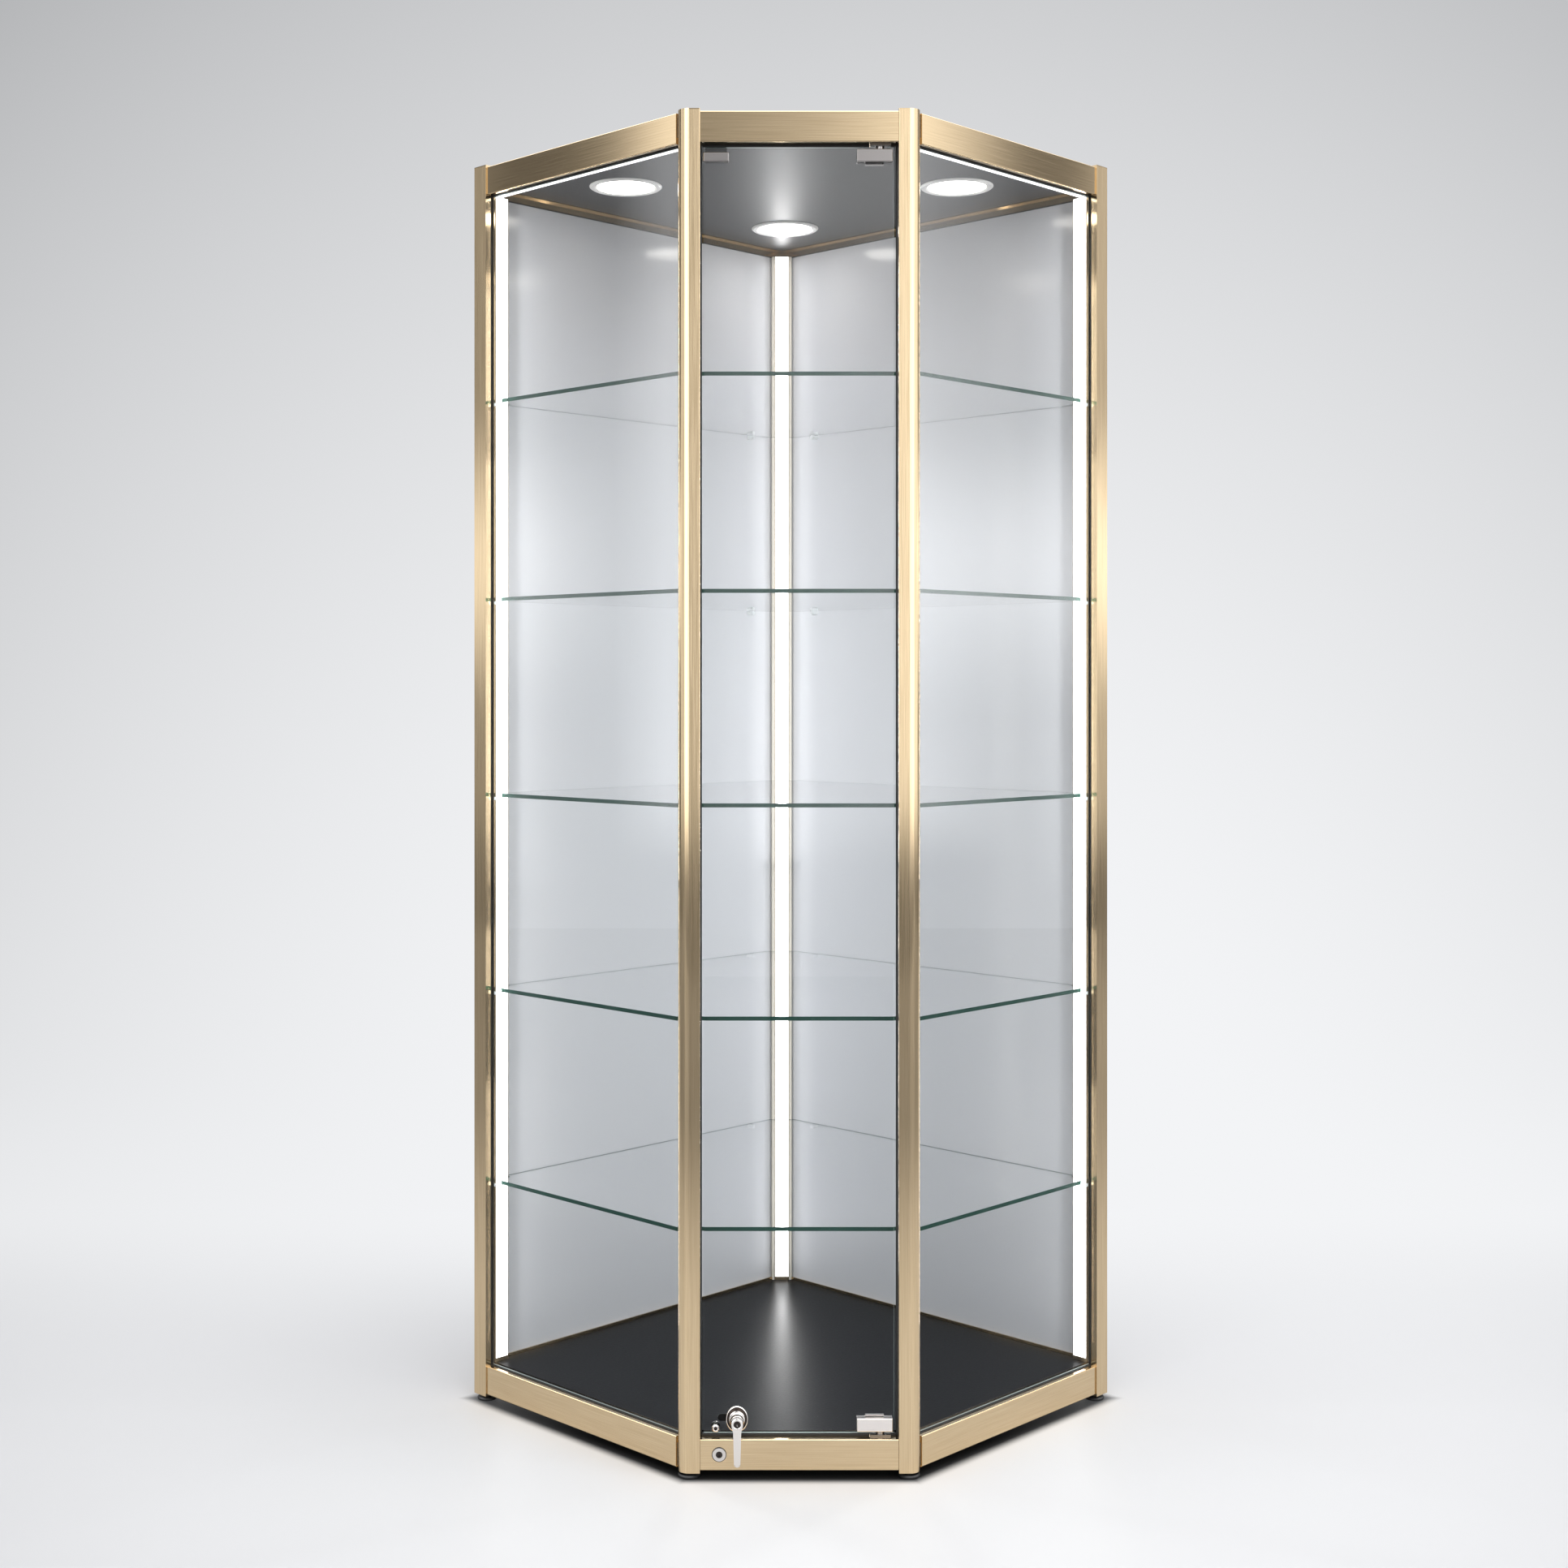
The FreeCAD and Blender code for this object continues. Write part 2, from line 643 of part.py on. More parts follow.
slot_depth = (cam_front - size.clear_gap, cam_back + size.clear_gap)
slot_height = (low_rail_top - size.rail_wall - size.slip, low_rail_top + size.slip)
cam_swing = larger(size.cam_half_width, swing_at(size.cam_length, size.lock_rise))
under_wall = size.rail_height - size.rail_wall - size.rail_lock_rise
tongue_swing = larger(size.tongue_half_width, swing_at(size.tongue_length, under_wall))
cam_slot = block("cam_slot", room,
                 (lock_x - cam_swing - size.slot_play,
                  lock_x + size.cam_half_width + size.slot_play), slot_depth, slot_height)
tongue_slot = block("tongue_slot", room,
                    (rail_lock_x - size.tongue_half_width - size.slot_play,
                     rail_lock_x + tongue_swing + size.slot_play), slot_depth, slot_height)
barrel_hole = rod("rail_lock_hole", room, rail_lock_x, rail_lock_z,
                  (rail_face - size.slip, rail_face + size.rail_wall + size.slip),
                  size.rail_barrel_radius + size.slip)
node("front_bottom_rail", minus("front_bottom_rail", plain_front,
                                [cam_slot, tongue_slot, barrel_hole]))
node("corner_connectors", group("corner_connectors", connectors))


# ---- deck, ceiling and roof -----------------------------------------------------------

def five_sided(front, side, back):
    # The plan at given distances inside the five axis lines.
    reach = size.front_reach + front - side * ROOT_TWO
    wide = size.side_reach - (side + back) * ROOT_HALF
    turn = side_axis + (side - back) * ROOT_HALF
    ahead = front_axis + front
    return [(-reach, ahead), (reach, ahead), (wide, turn), (ZERO, -(back * ROOT_TWO)),
            (-wide, turn)]


panel_front = size.front_rail_inner + size.panel_clearance
panel_side = rail_inner + size.panel_clearance
panel_plan = five_sided(panel_front, panel_side, panel_side)
deck = extrusion("base_deck", "XY_Plane", size.deck_thickness, [panel_plan])
node("base_deck", put(deck, room, 0, 0, deck_top - size.deck_thickness))

DOWNLIGHTS = [
    ("left", -size.downlight_side, front_axis + size.downlight_front),
    ("right", size.downlight_side, front_axis + size.downlight_front),
    ("back", ZERO, front_axis + size.downlight_back),
]
cutouts = [(x, y, size.cutout_radius) for _, x, y in DOWNLIGHTS]
ceiling = extrusion("ceiling_panel", "XY_Plane", size.ceiling_thickness, [panel_plan], cutouts)
node("ceiling_panel", put(ceiling, room, 0, 0, ceiling_under))

grommet_y = -size.grommet_place
roof = extrusion("roof_panel", "XY_Plane", size.roof_thickness, [panel_plan],
                 [(ZERO, grommet_y, size.grommet_radius + size.slip)])
node("roof_panel", put(roof, room, 0, 0, roof_under))


# ---- panes, gaskets and beads ---------------------------------------------------------

pane_start = groove_floor + size.edge_clearance
pane_low = low_rail_top - size.groove_depth + size.edge_clearance
pane_high = high_rail + size.groove_depth - size.edge_clearance
gasket_half = half_groove - size.slip
gasket_out = size.edge_clearance - 2 * size.slip
gasket_in = size.groove_depth - size.edge_clearance + size.gasket_proud
PANES = [
    ("left_side_glass", left_wall),
    ("right_side_glass", right_wall),
    ("back_left_panel", back_left_wall),
    ("back_right_panel", back_right_wall),
]
gaskets = []
for label, wall in PANES:
    span = (pane_start, wall.length - pane_start)
    tall = (pane_low, pane_high)
    thick = (-half_pane, half_pane)
    pane = extrusion(label, "XZ_Plane", size.pane_thickness, [rectangle(span, tall)])
    node(label, put(pane, wall, 0, -half_pane, 0))
    whole = block(label + "_gasket_blank", wall, (span[0] - gasket_out, span[1] + gasket_out),
                  (-gasket_half, gasket_half), (tall[0] - gasket_out, tall[1] + gasket_out))
    window = block(label + "_gasket_window", wall, (span[0] + gasket_in, span[1] - gasket_in),
                   (-half_groove, half_groove), (tall[0] + gasket_in, tall[1] - gasket_in))
    slot = block(label + "_gasket_slot", wall, (span[0] - size.slip, span[1] + size.slip),
                 (thick[0] - size.slip, thick[1] + size.slip),
                 (tall[0] - size.slip, tall[1] + size.slip))
    gaskets.append(minus(label + "_gasket", whole, [window, slot]))
node("glazing_gaskets", group("glazing_gaskets", gaskets))

beads = []
bead_start = size.post_face + size.joint_gap
for place, wall in (("left", back_left_wall), ("right", back_right_wall)):
    beads.append(block(f"bead_{place}", wall, (bead_start, wall.length - bead_start),
                       (half_groove + size.slip, rail_inner - size.slip),
                       (low_rail_top, low_rail_top + size.bead_height)))
node("back_panel_beads", group("back_panel_beads", beads))


# ---- lighting -------------------------------------------------------------------------

channel_width = size.diffuser_width + 2 * size.channel_wall + 2 * size.slip
channel_start = size.post_lip + size.clear_gap
channel_base = size.post_lip + size.joint_gap
channel_end = channel_start + channel_width
channel_low = deck_top + size.slip
channel_high = high_rail - size.joint_gap
light_low = channel_low + size.channel_cap
light_high = channel_high - size.joint_gap
corner_base = channel_width / 2 + size.post_lip * ROOT_TWO + size.joint_gap


def channel_section(low, base, foot):
    # A trough whose mouth faces the room; foot is the wedge behind the corner channel.
    high, wall = low + channel_width, size.channel_wall
    mouth = base + size.channel_depth
    back = [(low, base), (high, base)]
    if foot:
        half = channel_width / 2 - foot
        back = [(low, base), (-half, base - foot), (half, base - foot), (high, base)]
    return back + [
        (high, mouth), (high - wall, mouth), (high - wall, base + wall), (low + wall, base + wall),
        (low + wall, mouth), (low, mouth),
    ]


far_start = back_run - channel_end
LIGHTS = [
    ("left", back_left_wall, far_start, channel_base, None),
    ("right", back_right_wall, channel_start, channel_base, None),
    ("back", back_corner, -(channel_width / 2), corner_base, channel_width / 2 - size.channel_wall),
]
channels, diffusers, tapes = [], [], []
for place, wall, low, base, foot in LIGHTS:
    trough = extrusion(f"channel_{place}", "XY_Plane", channel_high - channel_low,
                       [channel_section(low, base, foot)])
    channels.append(put(trough, wall, 0, 0, channel_low))
    inside = low + size.channel_wall + size.slip
    mouth = base + size.channel_depth
    floor = base + size.channel_wall
    plug = block(f"channel_cap_{place}", wall, (inside, inside + size.diffuser_width),
                 (floor, mouth), (channel_low, light_low - size.joint_gap))
    channels.append(plug)
    strip = block(f"diffuser_blank_{place}", wall, (inside, inside + size.diffuser_width),
                  (mouth - size.diffuser_thickness, mouth), (light_low, light_high))
    diffusers.append(strip)
    middle = inside + size.diffuser_width / 2
    tapes.append(block(f"tape_{place}", wall,
                       (middle - size.tape_width / 2, middle + size.tape_width / 2),
                       (floor, floor + size.tape_thickness), (light_low, light_high)))
node("led_channels", group("led_channels", channels))
node("led_diffusers", group("led_diffusers", diffusers))
node("led_tapes", group("led_tapes", tapes))

bezels, lenses, housings = [], [], []
inner_ring = size.lens_radius + size.joint_gap
for place, x, y in DOWNLIGHTS:
    ring = turned(f"bezel_{place}", [
        (inner_ring, ZERO), (inner_ring, -size.bezel_throat),
        (inner_ring + size.bezel_bevel, -size.bezel_drop),
        (size.bezel_radius - size.bezel_bevel, -size.bezel_drop),
        (size.bezel_radius, -size.bezel_rim), (size.bezel_radius, ZERO),
    ])
    bezels.append(put(ring, room, x, y, ceiling_under))
    lens_low = ceiling_under - size.lens_drop
    lenses.append(upright(f"lens_{place}", room, x, y, (lens_low, ceiling_under), size.lens_radius))
    housings.append(upright(f"housing_{place}", room, x, y,
                            (ceiling_under, ceiling_under + size.housing_height),
                            size.housing_radius))
node("downlight_bezels", group("downlight_bezels", bezels))
node("downlight_lenses", group("downlight_lenses", lenses))
node("downlight_housings", group("downlight_housings", housings))

driver = block("driver_case", room, (-(size.driver_length / 2), size.driver_length / 2),
               (-size.driver_place - size.driver_width, -size.driver_place),
               (ceiling_top, ceiling_top + size.driver_height))
driver = rounded("led_driver", driver, size.driver_edge,
                 lambda edge: edge.BoundBox.ZLength > size.driver_height.value / 2)
node("led_driver", driver)

neck, rim, thick = size.grommet_radius, size.grommet_rim, size.grommet_flange
grommet = turned("cable_grommet", [
    (ZERO, -thick), (rim, -thick), (rim, ZERO), (neck, ZERO), (neck, size.roof_thickness),
    (rim, size.roof_thickness), (rim, size.roof_thickness + thick), (neck, size.roof_thickness + thick),
    (neck - thick, size.roof_thickness / 2), (ZERO, size.roof_thickness / 2),
])
node("cable_grommet", put(grommet, room, 0, grommet_y, roof_under))


# ---- shelves and their clips ----------------------------------------------------------

def beside_post(along, inward):
    # A place measured from the left side post: along the back wall, then into the room.
    return (-size.side_reach + (along + inward) * ROOT_HALF,
            side_axis + (along - inward) * ROOT_HALF)


# A side post and the light channel beside it both reach this far into the room.
post_reach = larger(size.post_face, channel_base + size.channel_depth)


def shelf_plan():
    notch_along = channel_end + size.shelf_gap
    notch_in = post_reach + size.shelf_gap
    cut = corner_base + size.channel_depth + size.shelf_gap
    front = size.front_reach + size.shelf_front - size.shelf_side * ROOT_TWO
    left = [
        (-(cut - size.shelf_back * ROOT_TWO), -cut),
        beside_post(notch_along, size.shelf_back),
        beside_post(notch_along, notch_in),
        beside_post(size.shelf_side, notch_in),
        (-front, front_axis + size.shelf_front),
    ]
    return left + [(-x, y) for x, y in reversed(left)]


clips = []
for number in range(1, 6):
    level = getattr(size, f"shelf_height_{number}")
    shelf = extrusion(f"shelf_{number}", "XY_Plane", size.shelf_thickness, [shelf_plan()])
    node(f"shelf_{number}", put(shelf, room, 0, 0, level))
    tall = (level - size.clip_height, level)
    back_face = front_axis + size.front_post_back + size.slip
    reach = front_axis + size.shelf_front + size.clip_hold
    for side in (-1, 1):
        far = size.front_reach - size.clip_width
        span = (far, size.front_reach) if side > 0 else (-size.front_reach, -far)
        clips.append(block(f"clip_{number}_front_{side + 1}", room, span, (back_face, reach), tall))
    lip = (half_groove + size.slip, size.shelf_side + size.clip_hold / 2)
    face = post_reach + size.joint_gap
    ahead = face + size.shelf_gap + size.clip_hold
    clips.append(block(f"clip_{number}_left", left_corner, (face, ahead), lip, tall))
    clips.append(block(f"clip_{number}_right", right_wall,
                       (side_run - ahead, side_run - face), lip, tall))
    stand = (half_pane + size.slip, size.shelf_back + size.clip_hold)
    drop = level - size.clip_pin_radius
    clips.append(rod(f"clip_{number}_back_left", back_left_wall, size.clip_pin_place, drop,
                     stand, size.clip_pin_radius))
    clips.append(rod(f"clip_{number}_back_right", back_right_wall,
                     back_run - size.clip_pin_place, drop, stand, size.clip_pin_radius))
node("shelf_clips", group("shelf_clips", clips))


# ---- door, hinges and catch -----------------------------------------------------------

door_low = low_rail_top + size.door_bottom_gap
door_high = high_rail - size.door_top_gap
pivot_x = door_half - size.pivot_inset
pivot_y = door_front + half_pane
notch = (pivot_x - size.notch_half, pivot_x + size.notch_half)
stud_x = rail_lock_x - size.stud_aside
stud_z = rail_lock_z + size.tongue_length + size.stud_over
notch_low = door_low + size.notch_depth
notch_high = door_high - size.notch_depth
door_outline = [
    (-door_half, door_low), (notch[0], door_low), (notch[0], notch_low), (notch[1], notch_low),
    (notch[1], door_low), (door_half, door_low), (door_half, door_high), (notch[1], door_high),
    (notch[1], notch_high), (notch[0], notch_high), (notch[0], door_high), (-door_half, door_high),
]
door = extrusion("door_glass", "XZ_Plane", size.pane_thickness, [door_outline], [
    (lock_x, lock_z, size.barrel_radius + size.joint_gap),
    (stud_x, stud_z, size.stud_shank + size.joint_gap),
])
node("door_glass", put(door, room, 0, door_front, 0))


def from_end(end, near, far):
    # Heights counted into the door from its lower or upper edge.
    if end == "lower":
        return (door_low + near, door_low + far)
    return (door_high - far, door_high - near)


clamp_span = (door_half - size.clamp_inset - size.clamp_width, door_half - size.clamp_inset)
clamp_middle = (clamp_span[0] + clamp_span[1]) / 2
clamp_depth = (door_front - size.clamp_cheek, door_back + size.clamp_cheek)
slot = (door_front - size.slip, door_back + size.slip)
pivots, screws = [], []
for end in ("lower", "upper"):
    top = size.clamp_rise + size.clamp_height
    body = block(f"{end}_clamp_block", room, clamp_span, clamp_depth,
                 from_end(end, size.clamp_rise, top))
    body = rounded(f"{end}_clamp_rounded", body, size.clamp_edge, lambda edge: True)
    jaw = block(f"{end}_clamp_jaw", room,
                (clamp_middle - size.jaw_width / 2, clamp_middle + size.jaw_width / 2),
                (slot[1], clamp_depth[1] - size.clamp_edge),
                from_end(end, size.clamp_rise + size.clamp_edge, top + size.jaw_rise))
    past = size.clamp_rise - size.slip
    beyond = top + size.slip
    cuts = [
        block(f"{end}_clamp_slot_left", room, (clamp_span[0] - size.slip, notch[0] + size.slip),
              slot, from_end(end, past, beyond)),
        block(f"{end}_clamp_slot_right", room, (notch[1] - size.slip, clamp_span[1] + size.slip),
              slot, from_end(end, past, beyond)),
        block(f"{end}_clamp_slot_over", room, (notch[0], notch[1]), slot,
              from_end(end, size.notch_depth - size.slip, beyond)),
        upright(f"{end}_clamp_bore", room, pivot_x, pivot_y,
                from_end(end, past, size.clamp_rise + size.pin_length + size.slip),
                size.pin_radius + size.pin_clearance),
    ]
    screw_z = from_end(end, size.clamp_rise + size.clamp_height / 2, ZERO)
    screw_z = screw_z[0] if end == "lower" else screw_z[1]
    for side in (-1, 1):
        x = clamp_middle + side * (size.clamp_screw_spacing / 2)
        cuts.append(rod(f"{end}_screw_hole_{side + 1}", room, x, screw_z,
                        (door_back, clamp_depth[1] + size.slip),
                        size.clamp_screw_radius + size.pin_clearance))
        shank = rod(f"{end}_screw_shank_{side + 1}", room, x, screw_z,
                    (slot[1], clamp_depth[1] + size.slip), size.clamp_screw_radius)
        socket = rod(f"{end}_screw_socket_{side + 1}", room, x, screw_z,
                     (clamp_depth[1] - size.clamp_screw_radius, clamp_depth[1] + size.joint_gap),
                     size.clamp_screw_radius / 2)
        screws.append(minus(f"{end}_screw_{side + 1}", shank, [socket]))
    clamp = joined(f"{end}_clamp_solid", [body, jaw])
    node(f"{end}_hinge_clamp", minus(f"{end}_hinge_clamp", clamp, cuts))
    gap = size.door_bottom_gap if end == "lower" else size.door_top_gap
    plate_face = size.plate_thickness - gap
    plate = block(f"{end}_pivot_plate", room,
                  (pivot_x - size.plate_length / 2, pivot_x + size.plate_length / 2),
                  (pivot_y - size.plate_width / 2, pivot_y + size.plate_width / 2),
                  from_end(end, -gap, plate_face))
    collar = upright(f"{end}_pivot_collar", room, pivot_x, pivot_y,
                     from_end(end, plate_face, size.clamp_rise - size.clear_gap), size.collar_radius)
    pin = upright(f"{end}_pivot_pin", room, pivot_x, pivot_y,
                  from_end(end, plate_face, size.clamp_rise + size.pin_length - size.clear_gap),
                  size.pin_radius)
    pivots.append(joined(f"{end}_pivot", [plate, collar, pin]))
node("hinge_pivots", group("hinge_pivots", pivots))
node("hinge_screws", group("hinge_screws", screws))

strike_high = door_high - size.strike_drop
strike_z = (strike_high - size.strike_height, strike_high)
strike_start = -door_half - size.strike_wrap
strike_span = (strike_start, strike_start + size.strike_width)
strike_depth = (door_front - size.strike_cheek, door_back + size.strike_cheek)
strike = block("strike_block", room, strike_span, strike_depth, strike_z)
strike = rounded("strike_rounded", strike, size.soft_edge, lambda edge: True)
strike_slot = block("strike_slot", room, (-door_half - size.slip, strike_span[1] + size.slip), slot,
                    (strike_z[0] - size.slip, strike_z[1] + size.slip))
node("strike_clip", minus("strike_clip", strike, [strike_slot]))

magnet_near = strike_depth[1] + size.catch_gap
magnet_middle = (strike_span[0] + strike_span[1]) / 2
magnet = block("magnet_block", room,
               (magnet_middle - size.magnet_length / 2, magnet_middle + size.magnet_length / 2),
               (magnet_near, magnet_near + size.magnet_width),
               (high_rail - size.magnet_height, high_rail))
node("catch_magnet", rounded("catch_magnet", magnet, size.soft_edge, lambda edge: True))


# ---- door lock ------------------------------------------------------------------------

oval = document.addObject("Part::Ellipse", "rosette_outline")
bind(oval, "MajorRadius", size.rosette_half_height)
bind(oval, "MinorRadius", size.rosette_half_width)
stand_up = Rotation(Vector(1, 0, 0), 90).multiply(Rotation(Vector(0, 0, 1), 90))
put(oval, room, lock_x, door_front, lock_z, stand_up)
oval_plate = document.addObject("Part::Extrusion", "rosette_plate")
oval_plate.Base = oval
oval_plate.Dir = Vector(0, -1, 0)
oval_plate.Solid = True
bind(oval_plate, "LengthFwd", size.rosette_thickness)
oval_plate = rounded("rosette_rounded", oval_plate, size.rosette_edge,
                     lambda edge: edge.CenterOfMass.y < door_front.value - size.rosette_edge.value)
rosette_hole = rod("rosette_hole", room, lock_x, lock_z,
                   (door_front - size.rosette_thickness - size.slip, door_front + size.slip),
                   size.barrel_radius + size.slip)
node("lock_rosette", minus("lock_rosette", oval_plate, [rosette_hole]))

rosette_front = door_front - size.rosette_thickness
barrel_front = rosette_front - size.barrel_reach
spindle_bore = size.spindle_radius + size.pin_clearance
nut_back = door_back + size.barrel_nut
shoulder = rosette_front - size.barrel_reach / 2
barrel = turned("lock_barrel", [
    (spindle_bore, barrel_front), (size.barrel_radius, barrel_front),
    (size.barrel_radius, shoulder), (size.barrel_step, shoulder),
    (size.barrel_step, rosette_front), (size.barrel_radius, rosette_front),
    (size.barrel_radius, door_back), (size.barrel_step, door_back),
    (size.barrel_step, nut_back), (spindle_bore, nut_back),
], "XY_Plane")
node("lock_barrel", put(barrel, room, lock_x, 0, lock_z))

hub_back = barrel_front - size.clear_gap
hub_front = hub_back - size.lever_hub_length
drop = size.lever_length
reach = drop - size.lever_tip
lever_outline = [
    (-size.lever_root, ZERO), (-size.lever_tip, -reach, size.lever_tip),
    (ZERO, -drop, size.lever_tip), (size.lever_tip, -reach), (size.lever_root, ZERO),
]
lever = extrusion("lever_arm", "XZ_Plane", size.lever_thickness, [lever_outline])
put(lever, room, lock_x, hub_front + size.lever_setback, lock_z)
hub = rod("lever_hub", room, lock_x, lock_z, (hub_front, hub_back), size.lever_hub_radius)
spindle = rod("lever_spindle", room, lock_x, lock_z, (hub_back, cam_back), size.spindle_radius)
key_back = hub_front + size.key_depth
key_hole = rod("key_hole", room, lock_x, lock_z, (hub_front - size.slip, key_back + size.slip),
               size.key_radius + size.pin_clearance)
node("handle_lever", minus("handle_lever", joined("lever_solid", [lever, hub, spindle]), [key_hole]))


def keyed_plug(label, x, z, front, back, radius):
    plug = rod(label + "_plug", room, x, z, (front, back), radius)
    half, wide = size.key_slot_length / 2, size.key_slot_width / 2
    keyway = block(label + "_slot", room, (x - wide, x + wide),
                   (front - size.slip, front + size.key_slot_depth), (z - half, z + half))
    return minus(label, plug, [keyway])


node("key_plug", keyed_plug("key_plug", lock_x, lock_z, hub_front, key_back, size.key_radius))


def turning_arm(label, x, z, side, length, half, hole):
    # A flat arm pointing along X from its axis, with a round tip and a round heel.
    start = (x, x + length - half) if side > 0 else (x - length + half, x)
    tip = start[1] if side > 0 else start[0]
    depth = (cam_front, cam_back)
    heel = rod(label + "_heel", room, x, z, depth, size.heel_radius)
    arm = joined(label + "_solid", [
        block(label + "_arm", room, start, depth, (z - half, z + half)),
        rod(label + "_tip", room, tip, z, depth, half), heel,
    ])
    if hole is None:
        return arm
    bore = rod(label + "_bore", room, x, z, (cam_front - size.slip, cam_back + size.slip), hole)
    return minus(label + "_bored", arm, [bore])


node("lock_cam", turning_arm("cam", lock_x, lock_z, -1, size.cam_length, size.cam_half_width,
                             spindle_bore))


# ---- rail lock ------------------------------------------------------------------------

flange_front = rail_face - size.flange_thickness
plug_bore = size.rail_plug_radius + size.pin_clearance
barrel_end = rail_face + size.rail_barrel_length
rail_barrel = turned("rail_lock_barrel", [
    (plug_bore, flange_front), (size.rail_barrel_flange, flange_front),
    (size.rail_barrel_flange, rail_face), (size.rail_barrel_radius, rail_face),
    (size.rail_barrel_radius, barrel_end), (plug_bore, barrel_end),
], "XY_Plane")
node("rail_lock_barrel", put(rail_barrel, room, rail_lock_x, 0, rail_lock_z))
plug = keyed_plug("rail_plug", rail_lock_x, rail_lock_z, flange_front, cam_front,
                  size.rail_plug_radius)
tongue = turning_arm("tongue", rail_lock_x, rail_lock_z, 1, size.tongue_length,
                     size.tongue_half_width, None)
node("rail_lock_tongue", joined("rail_lock_tongue", [plug, tongue]))

catch_front = cam_back + size.clear_gap
catch_back = catch_front + size.stud_catch_thickness
stud = turned("strike_stud", [
    (ZERO, door_front - size.stud_head), (size.stud_crown, door_front - size.stud_head),
    (size.stud_radius, door_front - size.stud_head / 2), (size.stud_radius, door_front),
    (size.stud_shank, door_front), (size.stud_shank, catch_front),
    (size.stud_catch, catch_front), (size.stud_catch, catch_back), (ZERO, catch_back),
], "XY_Plane")
node("strike_stud", put(stud, room, stud_x, 0, stud_z))


# ---- levelling feet -------------------------------------------------------------------

FEET = [
    ("foot_front_left", front_left_corner),
    ("foot_front_right", front_right_corner),
    ("foot_side_left", left_corner),
    ("foot_side_right", right_corner),
    ("foot_back", back_axis),
]
bevel = size.soft_edge
for label, wall in FEET:
    stud_radius = size.port_radius - size.pin_clearance
    hex_top = size.foot_height - size.foot_gap
    foot = turned(label, [
        (ZERO, ZERO), (size.foot_radius - bevel, ZERO), (size.foot_radius, bevel),
        (size.foot_radius, size.foot_pad - bevel), (size.foot_radius - bevel, size.foot_pad),
        (stud_radius, size.foot_pad), (stud_radius, size.foot_height + size.foot_stud),
        (ZERO, size.foot_height + size.foot_stud),
    ])
    corners = [(size.foot_hex * round(math.cos(math.radians(60 * n)), 12),
                size.foot_hex * round(math.sin(math.radians(60 * n)), 12)) for n in range(6)]
    extrusion(label + "_hexagon", "XY_Plane", hex_top - size.foot_pad, [corners],
              offset=size.foot_pad, body=foot)
    node(label, put(foot, wall, 0, 0, 0))


# ---- checks and files -----------------------------------------------------------------

document.recompute()
for item in document.Objects:
    if "Invalid" in item.State or "Error" in item.State:
        raise RuntimeError(f"{item.Label} failed: {item.State}")
for label, item in nodes.items():
    if item.Shape.isNull() or not item.Shape.isValid() or not item.Shape.Solids:
        raise RuntimeError(f"{label} has no valid solid")

os.makedirs("parts", exist_ok=True)
for label, item in nodes.items():
    item.Shape.exportStep(f"parts/{label}.step")
print(f"{len(nodes)} nodes written")
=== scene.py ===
import math

import bmesh
import bpy
from mathutils import Matrix, Vector


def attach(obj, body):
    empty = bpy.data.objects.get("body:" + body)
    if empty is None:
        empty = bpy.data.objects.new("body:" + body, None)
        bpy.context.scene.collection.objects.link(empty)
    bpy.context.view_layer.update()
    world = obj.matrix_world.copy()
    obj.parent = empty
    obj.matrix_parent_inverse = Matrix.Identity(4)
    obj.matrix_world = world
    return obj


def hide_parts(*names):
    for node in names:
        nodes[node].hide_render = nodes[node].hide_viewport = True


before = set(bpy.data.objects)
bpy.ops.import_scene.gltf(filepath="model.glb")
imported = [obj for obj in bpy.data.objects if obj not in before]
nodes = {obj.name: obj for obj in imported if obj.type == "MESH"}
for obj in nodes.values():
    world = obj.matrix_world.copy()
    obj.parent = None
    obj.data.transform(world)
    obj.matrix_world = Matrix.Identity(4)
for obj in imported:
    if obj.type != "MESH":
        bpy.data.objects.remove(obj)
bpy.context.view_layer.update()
print("frame loaded:", len(nodes), "nodes")


def linear(code):
    parts = [int(code[i:i + 2], 16) / 255 for i in (1, 3, 5)]
    return (*[c / 12.92 if c <= 0.04045 else ((c + 0.055) / 1.055) ** 2.4 for c in parts], 1)


def add(tree, kind, values=None, **settings):
    # a node with its settings; values are sockets to link from or plain values
    node = tree.nodes.new(kind)
    for name, value in settings.items():
        setattr(node, name, value)
    for name, value in (values or {}).items():
        if isinstance(value, bpy.types.NodeSocket):
            tree.links.new(value, node.inputs[name])
        else:
            node.inputs[name].default_value = value
    return node


def newMaterial(name):
    material = bpy.data.materials.new(name)
    material.use_nodes = True
    material.node_tree.nodes.clear()
    return material, material.node_tree


def wear(material, *names):
    for name in names:
        piece = nodes[name] if isinstance(name, str) else name
        if piece.data.materials:
            piece.data.materials.clear()
        piece.data.materials.append(material)


# ---- stage ----

stage = {
    "lens": 47.54, "shiftX": 0.0436, "shiftY": -0.0613,
    "cameraAt": (-0.121, -3.8207, 1.143),
    "floorFront": -6.0, "floorEnd": 2.0, "sweep": 1.6, "sweepSteps": 24, "wallTop": 6.0,
    "halfWidth": 7.0,
    "paint": "#D7D7D8", "paintedFalloff": "#4E4E50",
    "litCentre": (0, -0.2, 0), "litReach": (0.9, 3.2),
    "wallLight": "#F3F4F6", "wallDark": "#AEAFB1", "wallCentre": (0.5, 0.0, -0.44),
    "wallReach": (0.86, 5.44), "wallFall": 1.5,
    "blend": (-0.7, 0.7),  # where the lit floor passes into the even tone of the wall
    "paintedShadow": "#101010", "shadowFront": 0.829, "shadowSide": 0.703, "shadowBack": 0.013,
    "shadowFade": 0.024, "mirroredFloorDark": 0.03,
}


